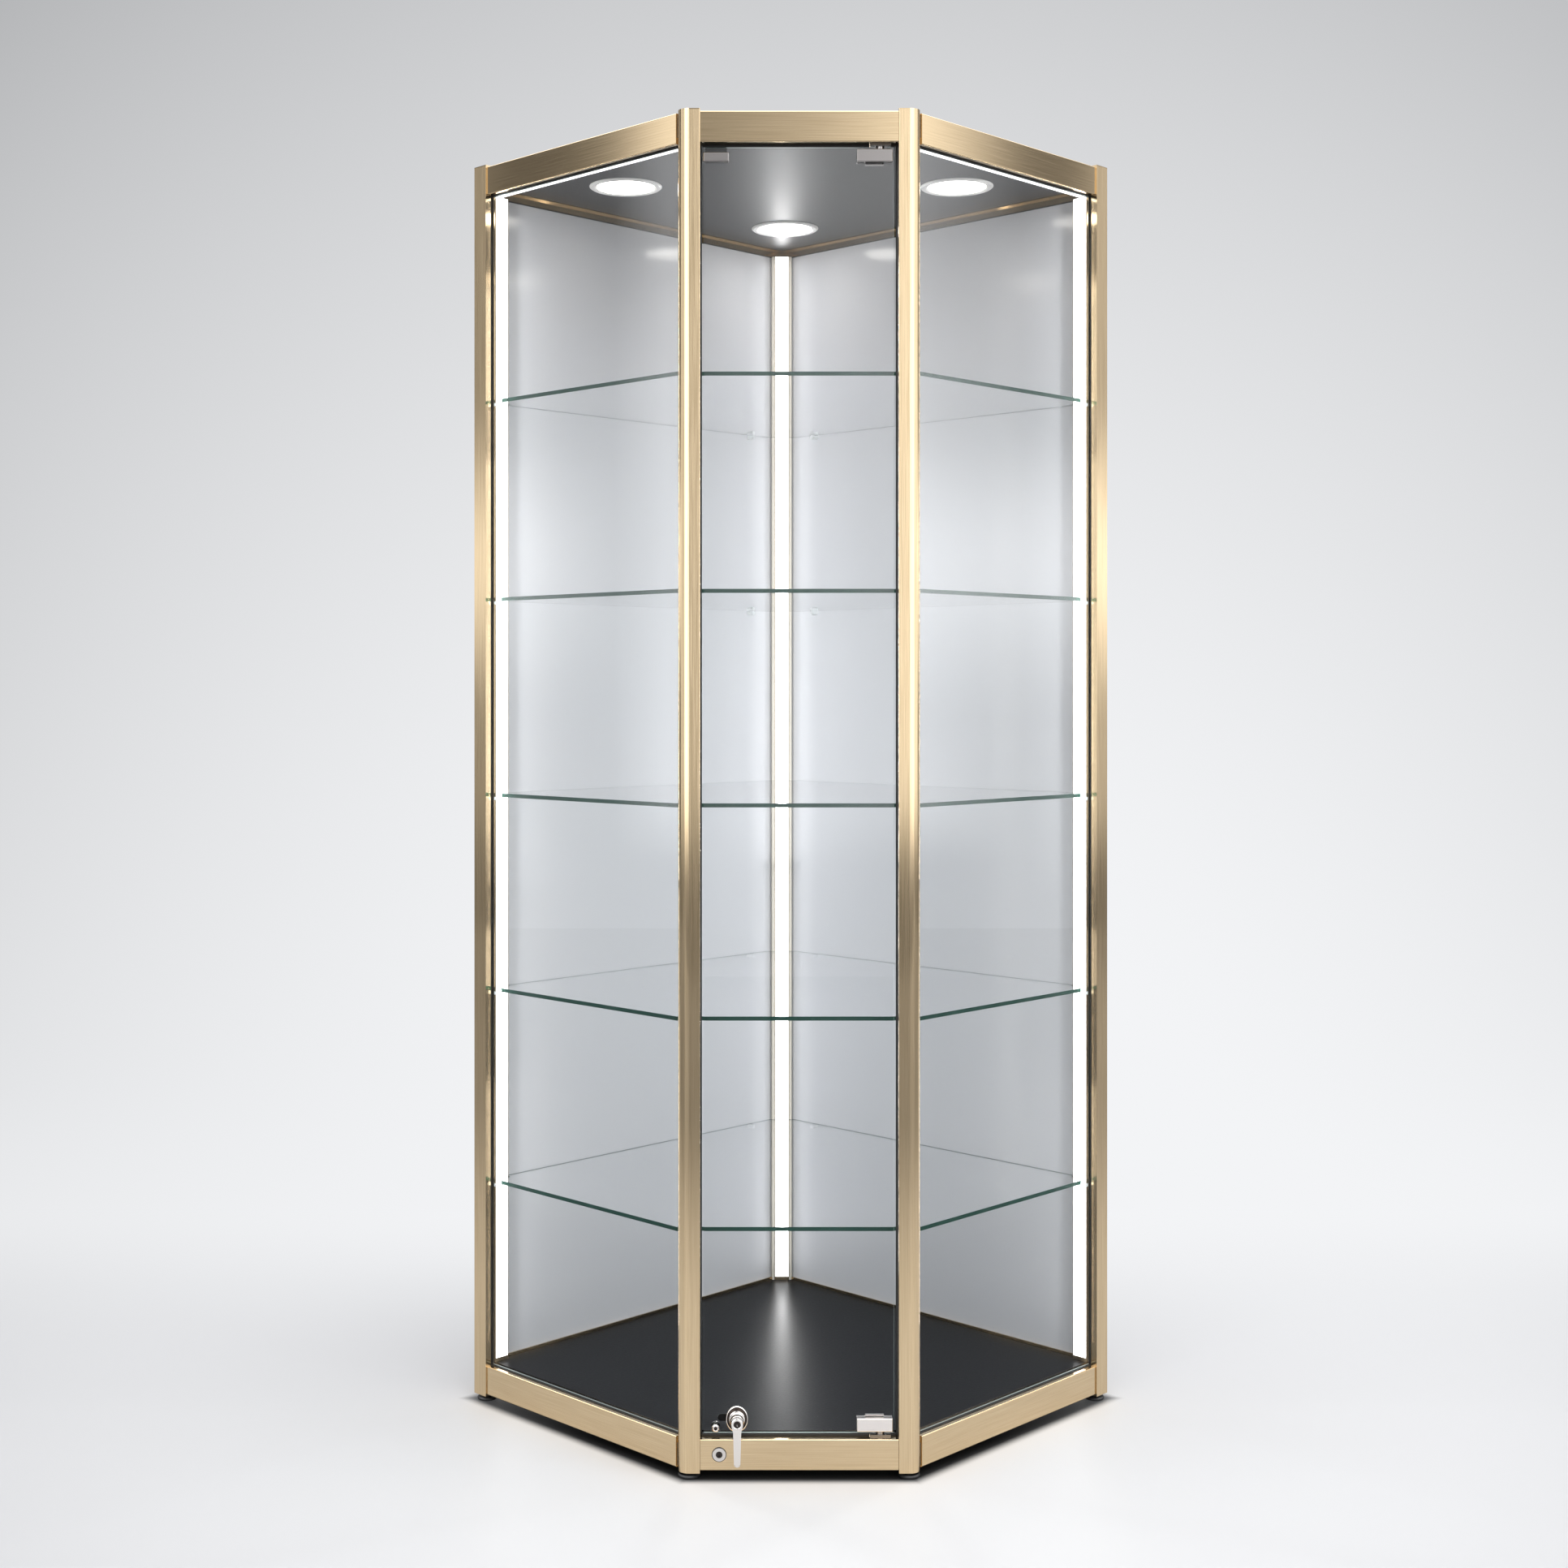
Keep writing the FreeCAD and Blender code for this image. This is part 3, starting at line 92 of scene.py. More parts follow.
def makeBackdrop(s):
    mesh = bmesh.new()
    rows = [(s["floorFront"], 0.0), (s["floorEnd"], 0.0)]
    for step in range(1, s["sweepSteps"] + 1):
        turn = math.radians(90 * step / s["sweepSteps"])
        rows.append((s["floorEnd"] + s["sweep"] * math.sin(turn),
                     s["sweep"] * (1 - math.cos(turn))))
    rows.append((s["floorEnd"] + s["sweep"], s["wallTop"]))
    edge = [[mesh.verts.new((side * s["halfWidth"], y, z)) for y, z in rows] for side in (-1, 1)]
    for i in range(len(rows) - 1):
        mesh.faces.new((edge[0][i], edge[1][i], edge[1][i + 1], edge[0][i + 1]))
    data = bpy.data.meshes.new("backdrop")
    mesh.to_mesh(data)
    mesh.free()
    data.shade_smooth()
    piece = bpy.data.objects.new("backdrop", data)
    bpy.context.scene.collection.objects.link(piece)
    material, tree = newMaterial("matt painted studio sweep")
    place = add(tree, "ShaderNodeTexCoord")
    # the wall's emitted tone is a painted falloff of light: lightest low behind the cabinet, darker
    # towards its upper corners
    spread = add(tree, "ShaderNodeVectorMath", {0: place.outputs["Object"],
                                                1: s["wallCentre"]}, operation="SUBTRACT")
    flat = add(tree, "ShaderNodeVectorMath", {0: spread.outputs[0], 1: (1, 0, 1)},
               operation="MULTIPLY")
    reach = add(tree, "ShaderNodeVectorMath", {0: flat.outputs[0]}, operation="LENGTH")
    fall = add(tree, "ShaderNodeMapRange", {"Value": reach.outputs["Value"],
                                            "From Min": s["wallReach"][0],
                                            "From Max": s["wallReach"][1]})
    fall = add(tree, "ShaderNodeMath", {0: fall.outputs["Result"], 1: s["wallFall"]},
               operation="POWER")
    tone = add(tree, "ShaderNodeMix", {"Factor": fall.outputs[0], "A": linear(s["wallLight"]),
                                       "B": linear(s["wallDark"])}, data_type="RGBA")
    shown = add(tree, "ShaderNodeEmission", {"Color": tone.outputs["Result"], "Strength": 1.0})
    # the floor's colour is painted darker towards the front and the sides, a painted falloff of
    # light standing in for a floor lit only around the cabinet
    offset = add(tree, "ShaderNodeVectorMath", {0: place.outputs["Object"],
                                                1: s["litCentre"]}, operation="SUBTRACT")
    away = add(tree, "ShaderNodeVectorMath", {0: offset.outputs[0]}, operation="LENGTH")
    dim = add(tree, "ShaderNodeMapRange", {"Value": away.outputs["Value"],
                                           "From Min": s["litReach"][0],
                                           "From Max": s["litReach"][1]},
              interpolation_type="SMOOTHSTEP")
    colour = add(tree, "ShaderNodeMix", {"Factor": dim.outputs["Result"],
                                         "A": linear(s["paint"]), "B": linear(s["paintedFalloff"])},
                 data_type="RGBA")
    split = add(tree, "ShaderNodeSeparateXYZ", {"Vector": place.outputs["Object"]})
    # a painted shadow lies on the floor under the cabinet, black colour standing in for its contact
    # shadow:
    # how far out from its edge a point is, measured to its front line, its two slanting side lines
    # and its two back lines
    aside = add(tree, "ShaderNodeMath", {0: split.outputs["X"]}, operation="ABSOLUTE")
    slant = add(tree, "ShaderNodeMath", {0: aside.outputs[0], 1: split.outputs["Y"]},
                operation="SUBTRACT")
    slant = add(tree, "ShaderNodeMath", {0: slant.outputs[0], 1: math.sqrt(0.5),
                                         2: -s["shadowSide"]}, operation="MULTIPLY_ADD")
    front = add(tree, "ShaderNodeMath", {0: split.outputs["Y"], 1: -1.0, 2: -s["shadowFront"]},
                operation="MULTIPLY_ADD")
    back = add(tree, "ShaderNodeMath", {0: aside.outputs[0], 1: split.outputs["Y"]},
               operation="ADD")
    back = add(tree, "ShaderNodeMath", {0: back.outputs[0], 1: math.sqrt(0.5),
                                        2: -s["shadowBack"]}, operation="MULTIPLY_ADD")
    out = add(tree, "ShaderNodeMath", {0: slant.outputs[0], 1: front.outputs[0]},
              operation="MAXIMUM")
    out = add(tree, "ShaderNodeMath", {0: out.outputs[0], 1: back.outputs[0]},
              operation="MAXIMUM")
    unshadowed = add(tree, "ShaderNodeMapRange", {"Value": out.outputs[0], "From Min": 0.0,
                                            "From Max": s["shadowFade"]},
               interpolation_type="SMOOTHSTEP")
    colour = add(tree, "ShaderNodeMix", {"Factor": unshadowed.outputs["Result"],
                                         "A": linear(s["paintedShadow"]), "B": colour.outputs["Result"]},
                 data_type="RGBA")
    paint = add(tree, "ShaderNodeBsdfPrincipled", {"Base Color": colour.outputs["Result"],
                                                   "Roughness": 0.5})
    far = add(tree, "ShaderNodeMapRange", {"Value": split.outputs["Y"],
                                           "From Min": s["blend"][0],
                                           "From Max": s["blend"][1]},
              interpolation_type="SMOOTHSTEP")
    ray = add(tree, "ShaderNodeLightPath")
    seen = add(tree, "ShaderNodeMath", {0: ray.outputs["Is Camera Ray"],
                                        1: ray.outputs["Is Glossy Ray"]}, operation="MAXIMUM")
    seen = add(tree, "ShaderNodeMath", {0: seen.outputs[0],
                                        1: ray.outputs["Is Transmission Ray"]},
               operation="MAXIMUM")
    share = add(tree, "ShaderNodeMath", {0: seen.outputs[0], 1: far.outputs["Result"]},
                operation="MULTIPLY")
    mixed = add(tree, "ShaderNodeMixShader", {"Fac": share.outputs[0], 1: paint.outputs[0],
                                              2: shown.outputs[0]})
    # the floor is painted near black where the panes mirror it, a painted dark reflection standing
    # in for a black flag before the glass;
    # light that a pane mirrors has turned an odd number of times, light through it an even one
    mirroredFloorDark = add(tree, "ShaderNodeMath", {0: ray.outputs["Is Glossy Ray"],
                                        1: ray.outputs["Is Singular Ray"]}, operation="MULTIPLY")
    odd = add(tree, "ShaderNodeMath", {0: ray.outputs["Ray Depth"], 1: 2.0}, operation="MODULO")
    mirroredFloorDark = add(tree, "ShaderNodeMath", {0: mirroredFloorDark.outputs[0], 1: odd.outputs[0]},
               operation="MULTIPLY")
    black = add(tree, "ShaderNodeEmission", {"Color": linear("#FFFFFF"),
                                             "Strength": s["mirroredFloorDark"]})
    mixed = add(tree, "ShaderNodeMixShader", {"Fac": mirroredFloorDark.outputs[0], 1: mixed.outputs[0],
                                              2: black.outputs[0]})
    add(tree, "ShaderNodeOutputMaterial", {"Surface": mixed.outputs[0]})
    wear(material, piece)


# what stands round the set, as the metal mirrors it: degrees round from the camera's side
# (plus is to the right) and how bright it is there; two tall softboxes with black cards beyond
ring = [
    (-180, 0.6), (-122, 0.6), (-113, 0.5), (-110, 0.06), (-102, 0.08), (-97.3, 0.48),
    (-95.6, 0.16), (-94, 0.22), (-92.6, 0.42), (-91, 2.2), (-88, 1.4), (-60, 0.95), (-50, 1.1),
    (-45, 3.4), (-13, 3.4), (-8, 0.75), (-1, 0.44), (3, 0.9), (8, 2.3), (14, 3.0), (46, 3.2),
    (58, 1.8), (95.6, 1.9), (97.2, 1.0), (98.5, 0.24), (99.7, 0.12), (101, 1.1), (105, 0.6),
    (107, 0.12), (111, 0.12), (114, 0.6), (180, 0.6),
]
surround = {
    "peak": 4.0,  # the ring's tones are kept as shares of this
    # heights run from -1 straight down to 1 straight up, as the light's direction does
    "overhead": 0.9, "bank": 4.0, "bankFrom": (0.42, 0.70),
    "low": 0.30, "lowFrom": (-0.05, -0.09), "clear": (0.20, 0.50),
    "strip": 1.5, "stripAside": (0.02, 0.10), "stripHeight": 0.06, "stripHalf": 0.08,
}


def makeSurround(s):
    world = bpy.data.worlds.new("studio surround")
    bpy.context.scene.world = world
    world.use_nodes = True
    tree = world.node_tree
    tree.nodes.clear()
    way = add(tree, "ShaderNodeTexCoord")
    split = add(tree, "ShaderNodeSeparateXYZ", {"Vector": way.outputs["Generated"]})
    ahead = add(tree, "ShaderNodeMath", {0: split.outputs["Y"], 1: -1.0}, operation="MULTIPLY")
    turn = add(tree, "ShaderNodeMath", {0: split.outputs["X"], 1: ahead.outputs[0]},
               operation="ARCTAN2")
    turn = add(tree, "ShaderNodeMapRange", {"Value": turn.outputs[0], "From Min": -math.pi,
                                            "From Max": math.pi})
    tones = add(tree, "ShaderNodeValToRGB", {"Fac": turn.outputs["Result"]})
    stops = tones.color_ramp.elements
    stops[0].position, stops[1].position = 0.0, 1.0
    for degrees, level in ring:
        position = degrees / 360 + 0.5
        stop = (stops[0] if degrees == -180 else stops[-1] if degrees == 180
                else stops.new(position))
        share = level / s["peak"]
        stop.color = (share, share, share, 1)
    # long low strip lights at both sides, level with the cabinet's upper half
    aside = add(tree, "ShaderNodeMapRange", {"Value": split.outputs["Y"],
                                             "From Min": s["stripAside"][0],
                                             "From Max": s["stripAside"][1]},
                interpolation_type="SMOOTHSTEP")
    off = add(tree, "ShaderNodeMath", {0: split.outputs["Z"], 1: s["stripHeight"]},
              operation="SUBTRACT")
    off = add(tree, "ShaderNodeMath", {0: off.outputs[0]}, operation="ABSOLUTE")
    near = add(tree, "ShaderNodeMapRange", {"Value": off.outputs[0], "From Min": 0.0,
                                            "From Max": s["stripHalf"], "To Min": 1.0,
                                            "To Max": 0.0},
               interpolation_type="SMOOTHSTEP")
    strip = add(tree, "ShaderNodeMath", {0: aside.outputs["Result"], 1: near.outputs["Result"]},
                operation="MULTIPLY")
    level = add(tree, "ShaderNodeMath", {0: tones.outputs["Color"], 1: s["peak"]},
                operation="MULTIPLY")
    level = add(tree, "ShaderNodeMath", {0: strip.outputs[0], 1: s["strip"],
                                         2: level.outputs[0]}, operation="MULTIPLY_ADD")
    up = add(tree, "ShaderNodeMapRange", {"Value": split.outputs["Z"],
                                          "From Min": s["bankFrom"][0],
                                          "From Max": s["bankFrom"][1]},
             interpolation_type="SMOOTHSTEP")
    # mirrors see the bright bank of lamps overhead; everything else gets its softened light
    ray = add(tree, "ShaderNodeLightPath")
    above = add(tree, "ShaderNodeMix", {"Factor": ray.outputs["Is Diffuse Ray"], "A": s["bank"],
                                        "B": s["overhead"]}, data_type="FLOAT")
    level = add(tree, "ShaderNodeMix", {"Factor": up.outputs["Result"], "A": level.outputs[0],
                                        "B": above.outputs["Result"]}, data_type="FLOAT")
    down = add(tree, "ShaderNodeMapRange", {"Value": split.outputs["Z"],
                                            "From Min": s["lowFrom"][0],
                                            "From Max": s["lowFrom"][1]},
               interpolation_type="SMOOTHSTEP")
    level = add(tree, "ShaderNodeMix", {"Factor": down.outputs["Result"],
                                        "A": level.outputs["Result"], "B": s["low"]},
                data_type="FLOAT")
    # the softboxes stand clear of the floor, so little light creeps in under the cabinet
    high = add(tree, "ShaderNodeMapRange", {"Value": split.outputs["Z"],
                                            "From Min": s["clear"][0],
                                            "From Max": s["clear"][1]},
               interpolation_type="SMOOTHSTEP")
    lit = add(tree, "ShaderNodeMix", {"Factor": ray.outputs["Is Diffuse Ray"], "A": 1.0,
                                      "B": high.outputs["Result"]}, data_type="FLOAT")
    level = add(tree, "ShaderNodeMath", {0: level.outputs["Result"], 1: lit.outputs["Result"]},
                operation="MULTIPLY")
    light = add(tree, "ShaderNodeBackground", {"Color": linear("#FCFDFF"),
                                               "Strength": level.outputs[0]})
    add(tree, "ShaderNodeOutputWorld", {"Surface": light.outputs[0]})


lamps = {
    "overhead softbox": dict(place=(0.9, -1.2, 4.2), target=(0.0, -0.5, 0), size=(2.2, 2.2),
                             watts=17),
    "front softbox": dict(place=(0.5, -3.8, 3.2), target=(0, -0.3, 1.2), size=(2.2, 1.4),
                          watts=15),
    "right softbox": dict(place=(3.4, -2.6, 2.6), target=(0, -0.5, 0.3), size=(1.2, 1.6),
                          watts=26),
}


def makeLamp(name, place, target, size, watts):
    data = bpy.data.lights.new(name, "AREA")
    data.shape = "RECTANGLE"
    data.size, data.size_y = size
    data.energy = watts
    lamp = bpy.data.objects.new(name, data)
    lamp.location = place
    lamp.rotation_euler = (Vector(target) - Vector(place)).to_track_quat("-Z", "Y").to_euler()
    lamp.visible_camera = lamp.visible_glossy = lamp.visible_transmission = False
    bpy.context.scene.collection.objects.link(lamp)


def makeCamera(s):
    data = bpy.data.cameras.new("camera")
    data.lens = s["lens"]
    data.shift_x, data.shift_y = s["shiftX"], s["shiftY"]
    data.clip_end = 60
    camera = bpy.data.objects.new("camera", data)
    camera.location = s["cameraAt"]
    camera.rotation_euler = (math.radians(90), 0, 0)
    bpy.context.scene.collection.objects.link(camera)
    bpy.context.scene.camera = camera
    bpy.context.scene.view_settings.view_transform = "Standard"


makeBackdrop(stage)
makeSurround(surround)
for name, lamp in lamps.items():
    makeLamp(name, **lamp)
makeCamera(stage)
print("stage made")


# ---- shapes the pieces are made of ----

def settle(name, mesh, body, sharp=35):
    # turns a bmesh into a finished piece that rides with a body
    bmesh.ops.remove_doubles(mesh, verts=mesh.verts, dist=1e-6)
    bmesh.ops.recalc_face_normals(mesh, faces=mesh.faces)
    data = bpy.data.meshes.new(name)
    mesh.to_mesh(data)
    mesh.free()
    data.shade_smooth()
    data.set_sharp_from_angle(angle=math.radians(sharp))
    piece = bpy.data.objects.new(name, data)
    bpy.context.scene.collection.objects.link(piece)
    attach(piece, body)
    return piece


def alongWall(x, y, turn):
    # axes of a side of the cabinet: x runs along it, y points into the cabinet
    return Matrix.Translation((x, y, 0)) @ Matrix.Rotation(math.radians(turn), 4, "Z")


def standing(wall):
    # the same axes with the run turned upright, so that a section lies in plan
    return wall @ Matrix(((0, 1, 0, 0), (0, 0, 1, 0), (1, 0, 0, 0), (0, 0, 0, 1)))


def run(mesh, section, start, end, axes):
    # a closed section of (across, up) carried from start to end along the axes' own x
    rings = [[mesh.verts.new(axes @ Vector((x, u, v))) for u, v in section] for x in (start, end)]
    count = len(section)
    for i in range(count):
        following = (i + 1) % count
        mesh.faces.new((rings[0][i], rings[0][following], rings[1][following], rings[1][i]))
    mesh.faces.new(rings[0])
    mesh.faces.new(rings[1])


def turnOnLathe(mesh, profile, centre, steps=64, oval=None, recess=()):
    # a closed profile of (radius, depth towards -Y) spun round an axis through the centre;
    # oval stretches the rim to half widths while the innermost radius stays round, and recess
    # numbers the profile's stretches that take the piece's second material, a chrome painted dark
    # as shade
    inner = min(r for r, _ in profile)
    outer = max(r for r, _ in profile)
    rings = []
    for r, depth in profile:
        ring = []
        for step in range(steps):
            angle = 2 * math.pi * step / steps
            wide = tall = r
            if oval:
                share = (r - inner) / (outer - inner)
                wide = inner + (oval[0] - inner) * share
                tall = inner + (oval[1] - inner) * share
            ring.append(mesh.verts.new((centre[0] + wide * math.cos(angle), centre[1] - depth,
                                        centre[2] + tall * math.sin(angle))))
        rings.append(ring)
    for i, ring in enumerate(rings):
        beyond = rings[(i + 1) % len(rings)]
        for step in range(steps):
            side = (step + 1) % steps
            face = mesh.faces.new((ring[step], ring[side], beyond[side], beyond[step]))
            face.material_index = 1 if i in recess else 0


# ---- anodised aluminium ----

gold = {
    "light": "#D5BF9D", "dark": "#BEA885",
    # single strokes are too fine to show, so they are drawn as bundles 0.8 mm wide
    "strokeLength": 0.110, "strokeWidth": 0.0008,
    "roughness": (0.08, 0.11), "spread": 0.9, "relief": 0.000002,
}


def brushedAluminium(name, finish, turn=0.0, upright=False):
    # brushed along its length before anodising: long fine strokes that blur what it mirrors
    material, tree = newMaterial(name)
    place = add(tree, "ShaderNodeTexCoord")
    across, along = 1 / finish["strokeWidth"], 1 / finish["strokeLength"]
    lay = add(tree, "ShaderNodeMapping", {"Vector": place.outputs["Object"],
                                          "Rotation": (0, 0, -math.radians(turn))})
    scaled = add(tree, "ShaderNodeMapping", {
        "Vector": lay.outputs["Vector"],
        "Scale": (across, across, along) if upright else (along, across, across)})
    strokes = add(tree, "ShaderNodeTexNoise", {"Vector": scaled.outputs["Vector"], "Scale": 1.0,
                                               "Detail": 2.0, "Roughness": 0.6})
    tone = add(tree, "ShaderNodeMapRange", {"Value": strokes.outputs["Fac"], "From Min": 0.25,
                                            "From Max": 0.75})
    tone = add(tree, "ShaderNodeMix", {"Factor": tone.outputs["Result"],
                                       "A": linear(finish["dark"]), "B": linear(finish["light"])},
               data_type="RGBA")
    rough = add(tree, "ShaderNodeMapRange", {"Value": strokes.outputs["Fac"], "From Min": 0.3,
                                             "From Max": 0.7, "To Min": finish["roughness"][0],
                                             "To Max": finish["roughness"][1]})
    ridges = add(tree, "ShaderNodeBump", {"Height": strokes.outputs["Fac"], "Strength": 1.0,
                                          "Distance": finish["relief"]})
    # the strokes blur what the metal mirrors across themselves, hardly along themselves
    surface = add(tree, "ShaderNodeNewGeometry")
    grain = ((0.01, 0.02, 1.0) if upright
             else (math.cos(math.radians(turn)), math.sin(math.radians(turn)), 0.02))
    blur = add(tree, "ShaderNodeVectorMath", {0: surface.outputs["Normal"], 1: grain},
               operation="CROSS_PRODUCT")
    metal = add(tree, "ShaderNodeBsdfPrincipled", {
        "Base Color": tone.outputs["Result"], "Metallic": 1.0,
        "Roughness": rough.outputs["Result"], "Normal": ridges.outputs["Normal"],
        "Anisotropic": finish["spread"], "Tangent": blur.outputs["Vector"]})
    add(tree, "ShaderNodeOutputMaterial", {"Surface": metal.outputs[0]})
    return material


post = dict(gold, roughness=(0.13, 0.16))
goldUpright = brushedAluminium("champagne anodised aluminium, brushed upright", post, upright=True)
wear(goldUpright, "front_left_post", "front_right_post", "side_left_post", "side_right_post",
     "back_corner_post")
for turn, places in ((0, ("front",)), (-45, ("left", "back_right")), (45, ("right", "back_left"))):
    lengthwise = brushedAluminium(f"champagne anodised aluminium, brushed at {turn} degrees", gold,
                                  turn)
    wear(lengthwise, *[f"{p}_{level}_rail" for p in places for level in ("bottom", "top")])
wear(brushedAluminium("champagne anodised aluminium, cut across", gold), "post_caps",
     "back_panel_beads")
# the roof sheet is left as rolled: its grey oxide keeps the lamps above from burning out on it
plain = dict(gold, light="#7E7F82", dark="#747578", roughness=(0.45, 0.55))
wear(brushedAluminium("mill-finish aluminium sheet", plain), "roof_panel", "downlight_housings")
# the light channels are a duller champagne, so that they stay calm beside the lit strips
dull = dict(gold, light="#B3A48D", dark="#A89880", roughness=(0.40, 0.50))
wear(brushedAluminium("dull champagne aluminium, extruded", dull, upright=True), "led_channels")


# ---- glass ----

def floatGlass(name, face, edge, lit):
    # clear float glass: faces hardly show, the ground edges gather a green from the pane's depth
    material, tree = newMaterial(name)
    surface = add(tree, "ShaderNodeNewGeometry")
    # the normal in the pane's own axes, so that the door keeps its look as it swings
    own = add(tree, "ShaderNodeVectorTransform", {"Vector": surface.outputs["True Normal"]},
              vector_type="NORMAL", convert_from="WORLD", convert_to="OBJECT")
    square = add(tree, "ShaderNodeVectorMath", {0: own.outputs["Vector"], 1: face},
                 operation="DOT_PRODUCT")
    square = add(tree, "ShaderNodeMath", {0: square.outputs["Value"]}, operation="ABSOLUTE")
    # what leans more than 26 degrees away from the pane's face is its edge
    isEdge = add(tree, "ShaderNodeMath", {0: square.outputs[0], 1: 0.9}, operation="LESS_THAN")
    clear = add(tree, "ShaderNodeBsdfPrincipled", {
        "Base Color": linear("#FFFFFF"), "Roughness": 0.0, "IOR": 1.5,
        "Transmission Weight": 1.0})
    ground = add(tree, "ShaderNodeBsdfPrincipled", {
        "Base Color": linear(edge), "Roughness": 0.35, "IOR": 1.5, "Transmission Weight": lit})
    pane = add(tree, "ShaderNodeMixShader", {"Fac": isEdge.outputs[0], 1: clear.outputs[0],
                                             2: ground.outputs[0]})
    through = add(tree, "ShaderNodeBsdfTransparent", {"Color": linear("#FBFCFC")})
    ray = add(tree, "ShaderNodeLightPath")
    passes = add(tree, "ShaderNodeMath", {0: ray.outputs["Is Shadow Ray"],
                                          1: ray.outputs["Is Diffuse Ray"]}, operation="MAXIMUM")
    whole = add(tree, "ShaderNodeMixShader", {"Fac": passes.outputs[0], 1: pane.outputs[0],
                                              2: through.outputs[0]})
    add(tree, "ShaderNodeOutputMaterial", {"Surface": whole.outputs[0]})
    return material


half = math.sqrt(0.5)
for name, face in (("left_side_glass", (half, half, 0)), ("right_side_glass", (-half, half, 0))):
    wear(floatGlass(f"float glass, {name.replace('_', ' ')}", face, "#8FAAA2", 0.3), name)
shelfGlass = floatGlass("float glass, shelf with a dark green edge", (0, 0, 1), "#12382F", 0.0)
wear(shelfGlass, *[f"shelf_{n}" for n in range(1, 6)])


arris = {"width": 0.0021, "shortest": 0.015, "edge": "#A4B9B1", "lit": 0.15}


def makeDoor(a):
    # the door's edges are ground to a flat arris all round, which shows as a pale line
    mesh = bmesh.new()
    mesh.from_mesh(nodes["door_glass"].data)
    front = min(v.co.y for v in mesh.verts)
    back = max(v.co.y for v in mesh.verts)
    bmesh.ops.dissolve_limit(mesh, angle_limit=math.radians(1), verts=mesh.verts,
                             edges=mesh.edges)
    rims = []
    for edge in mesh.edges:
        flat = [abs(v.co.y - front) < 1e-5 or abs(v.co.y - back) < 1e-5 for v in edge.verts]
        level = abs(edge.verts[0].co.y - edge.verts[1].co.y) < 1e-5
        if all(flat) and level and edge.calc_length() > a["shortest"]:
            rims.append(edge)
    bmesh.ops.bevel(mesh, geom=rims, offset=a["width"], segments=1, affect="EDGES",
                    clamp_overlap=True)
    door = settle("door_pane", mesh, "door", 10)
    wear(floatGlass("float glass, door with ground edges", (0, 1, 0), a["edge"], a["lit"]), door)
    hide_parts("door_glass")


makeDoor(arris)


def backPaintedGlass(name, colour):
    # glass painted on its back: an even colour under a mirror-smooth, faintly wavy face
    material, tree = newMaterial(name)
    place = add(tree, "ShaderNodeTexCoord")
    roll = add(tree, "ShaderNodeTexNoise", {"Vector": place.outputs["Object"], "Scale": 3.0,
                                            "Detail": 1.0})
    wave = add(tree, "ShaderNodeBump", {"Height": roll.outputs["Fac"], "Strength": 0.15,
                                        "Distance": 0.001})
    glaze = add(tree, "ShaderNodeBsdfPrincipled", {
        "Base Color": linear(colour), "Roughness": 0.14, "IOR": 1.5,
        "Normal": wave.outputs["Normal"]})
    add(tree, "ShaderNodeOutputMaterial", {"Surface": glaze.outputs[0]})
    return material


wear(backPaintedGlass("back-painted glass, blue-grey", "#D4D5D9"), "back_left_panel",
     "back_right_panel")
print("frame and glass made")


# ---- boards, plastics, rubber ----

def satinBoard(name, colour, roughness, grain, gloss=0.5):
    # melamine board: a fine pressed pearl that softens reflections into streaks
    material, tree = newMaterial(name)
    place = add(tree, "ShaderNodeTexCoord")
    pearl = add(tree, "ShaderNodeTexNoise", {"Vector": place.outputs["Object"],
                                             "Scale": 1 / grain, "Detail": 2.0})
    relief = add(tree, "ShaderNodeBump", {"Height": pearl.outputs["Fac"], "Strength": 0.3,
                                          "Distance": grain / 12})
    rough = add(tree, "ShaderNodeMapRange", {"Value": pearl.outputs["Fac"],
                                             "To Min": roughness - 0.05,
                                             "To Max": roughness + 0.05})
    board = add(tree, "ShaderNodeBsdfPrincipled", {
        "Base Color": linear(colour), "Roughness": rough.outputs["Result"], "IOR": 1.5,
        "Specular IOR Level": gloss, "Normal": relief.outputs["Normal"]})
    add(tree, "ShaderNodeOutputMaterial", {"Surface": board.outputs[0]})
    return material


wear(satinBoard("charcoal melamine board", "#0B0C0E", 0.34, 0.004, 0.06), "base_deck")
wear(satinBoard("mid-grey melamine board", "#333334", 0.47, 0.003, 0.28), "ceiling_panel")
wear(satinBoard("white moulded polycarbonate", "#E6E6E6", 0.45, 0.002), "led_driver", "led_tapes")
wear(satinBoard("black moulded nylon", "#0C0C0D", 0.5, 0.002), "foot_front_left",
     "foot_front_right", "foot_side_left", "foot_side_right", "foot_back", "catch_magnet")
blackRubber = satinBoard("black extruded rubber", "#070707", 0.6, 0.002)
wear(blackRubber, "glazing_gaskets", "cable_grommet")


# bulb seals in the door's opening, so that no gap shows between the door and the frame
seals = {"depth": (-0.8130, -0.8060), "jamb": (0.1409, 0.1434), "low": (0.0572, 0.0597),
         "high": (1.9292, 1.9318), "plate": (0.1022, 0.1338)}


def makeSeals(s):
    mesh = bmesh.new()
    front, back = s["depth"]
    middle = (front + back) / 2
    room = alongWall(0, 0, 0)
    near, far = s["jamb"]
    for side in (-1, 1):
        bulb = [(far * side, front), (far * side, back)]
        for step in range(1, 8):
            turn = math.pi * step / 8
            bulb.append((side * (far - (far - near) * math.sin(turn)),
                         middle + (back - middle) * math.cos(turn)))
        run(mesh, bulb, s["low"][0], s["high"][1], standing(room))
    for low, high in (s["low"], s["high"]):
        flat = [(front, low), (back, low), (back, high), (front, high)]
        for start, end in ((-near + 0.0001, s["plate"][0]), (s["plate"][1], near - 0.0001)):
            run(mesh, flat, start, end, room)
    wear(blackRubber, settle("door_seals", mesh, "cabinet"))


makeSeals(seals)


# ---- light sources ----

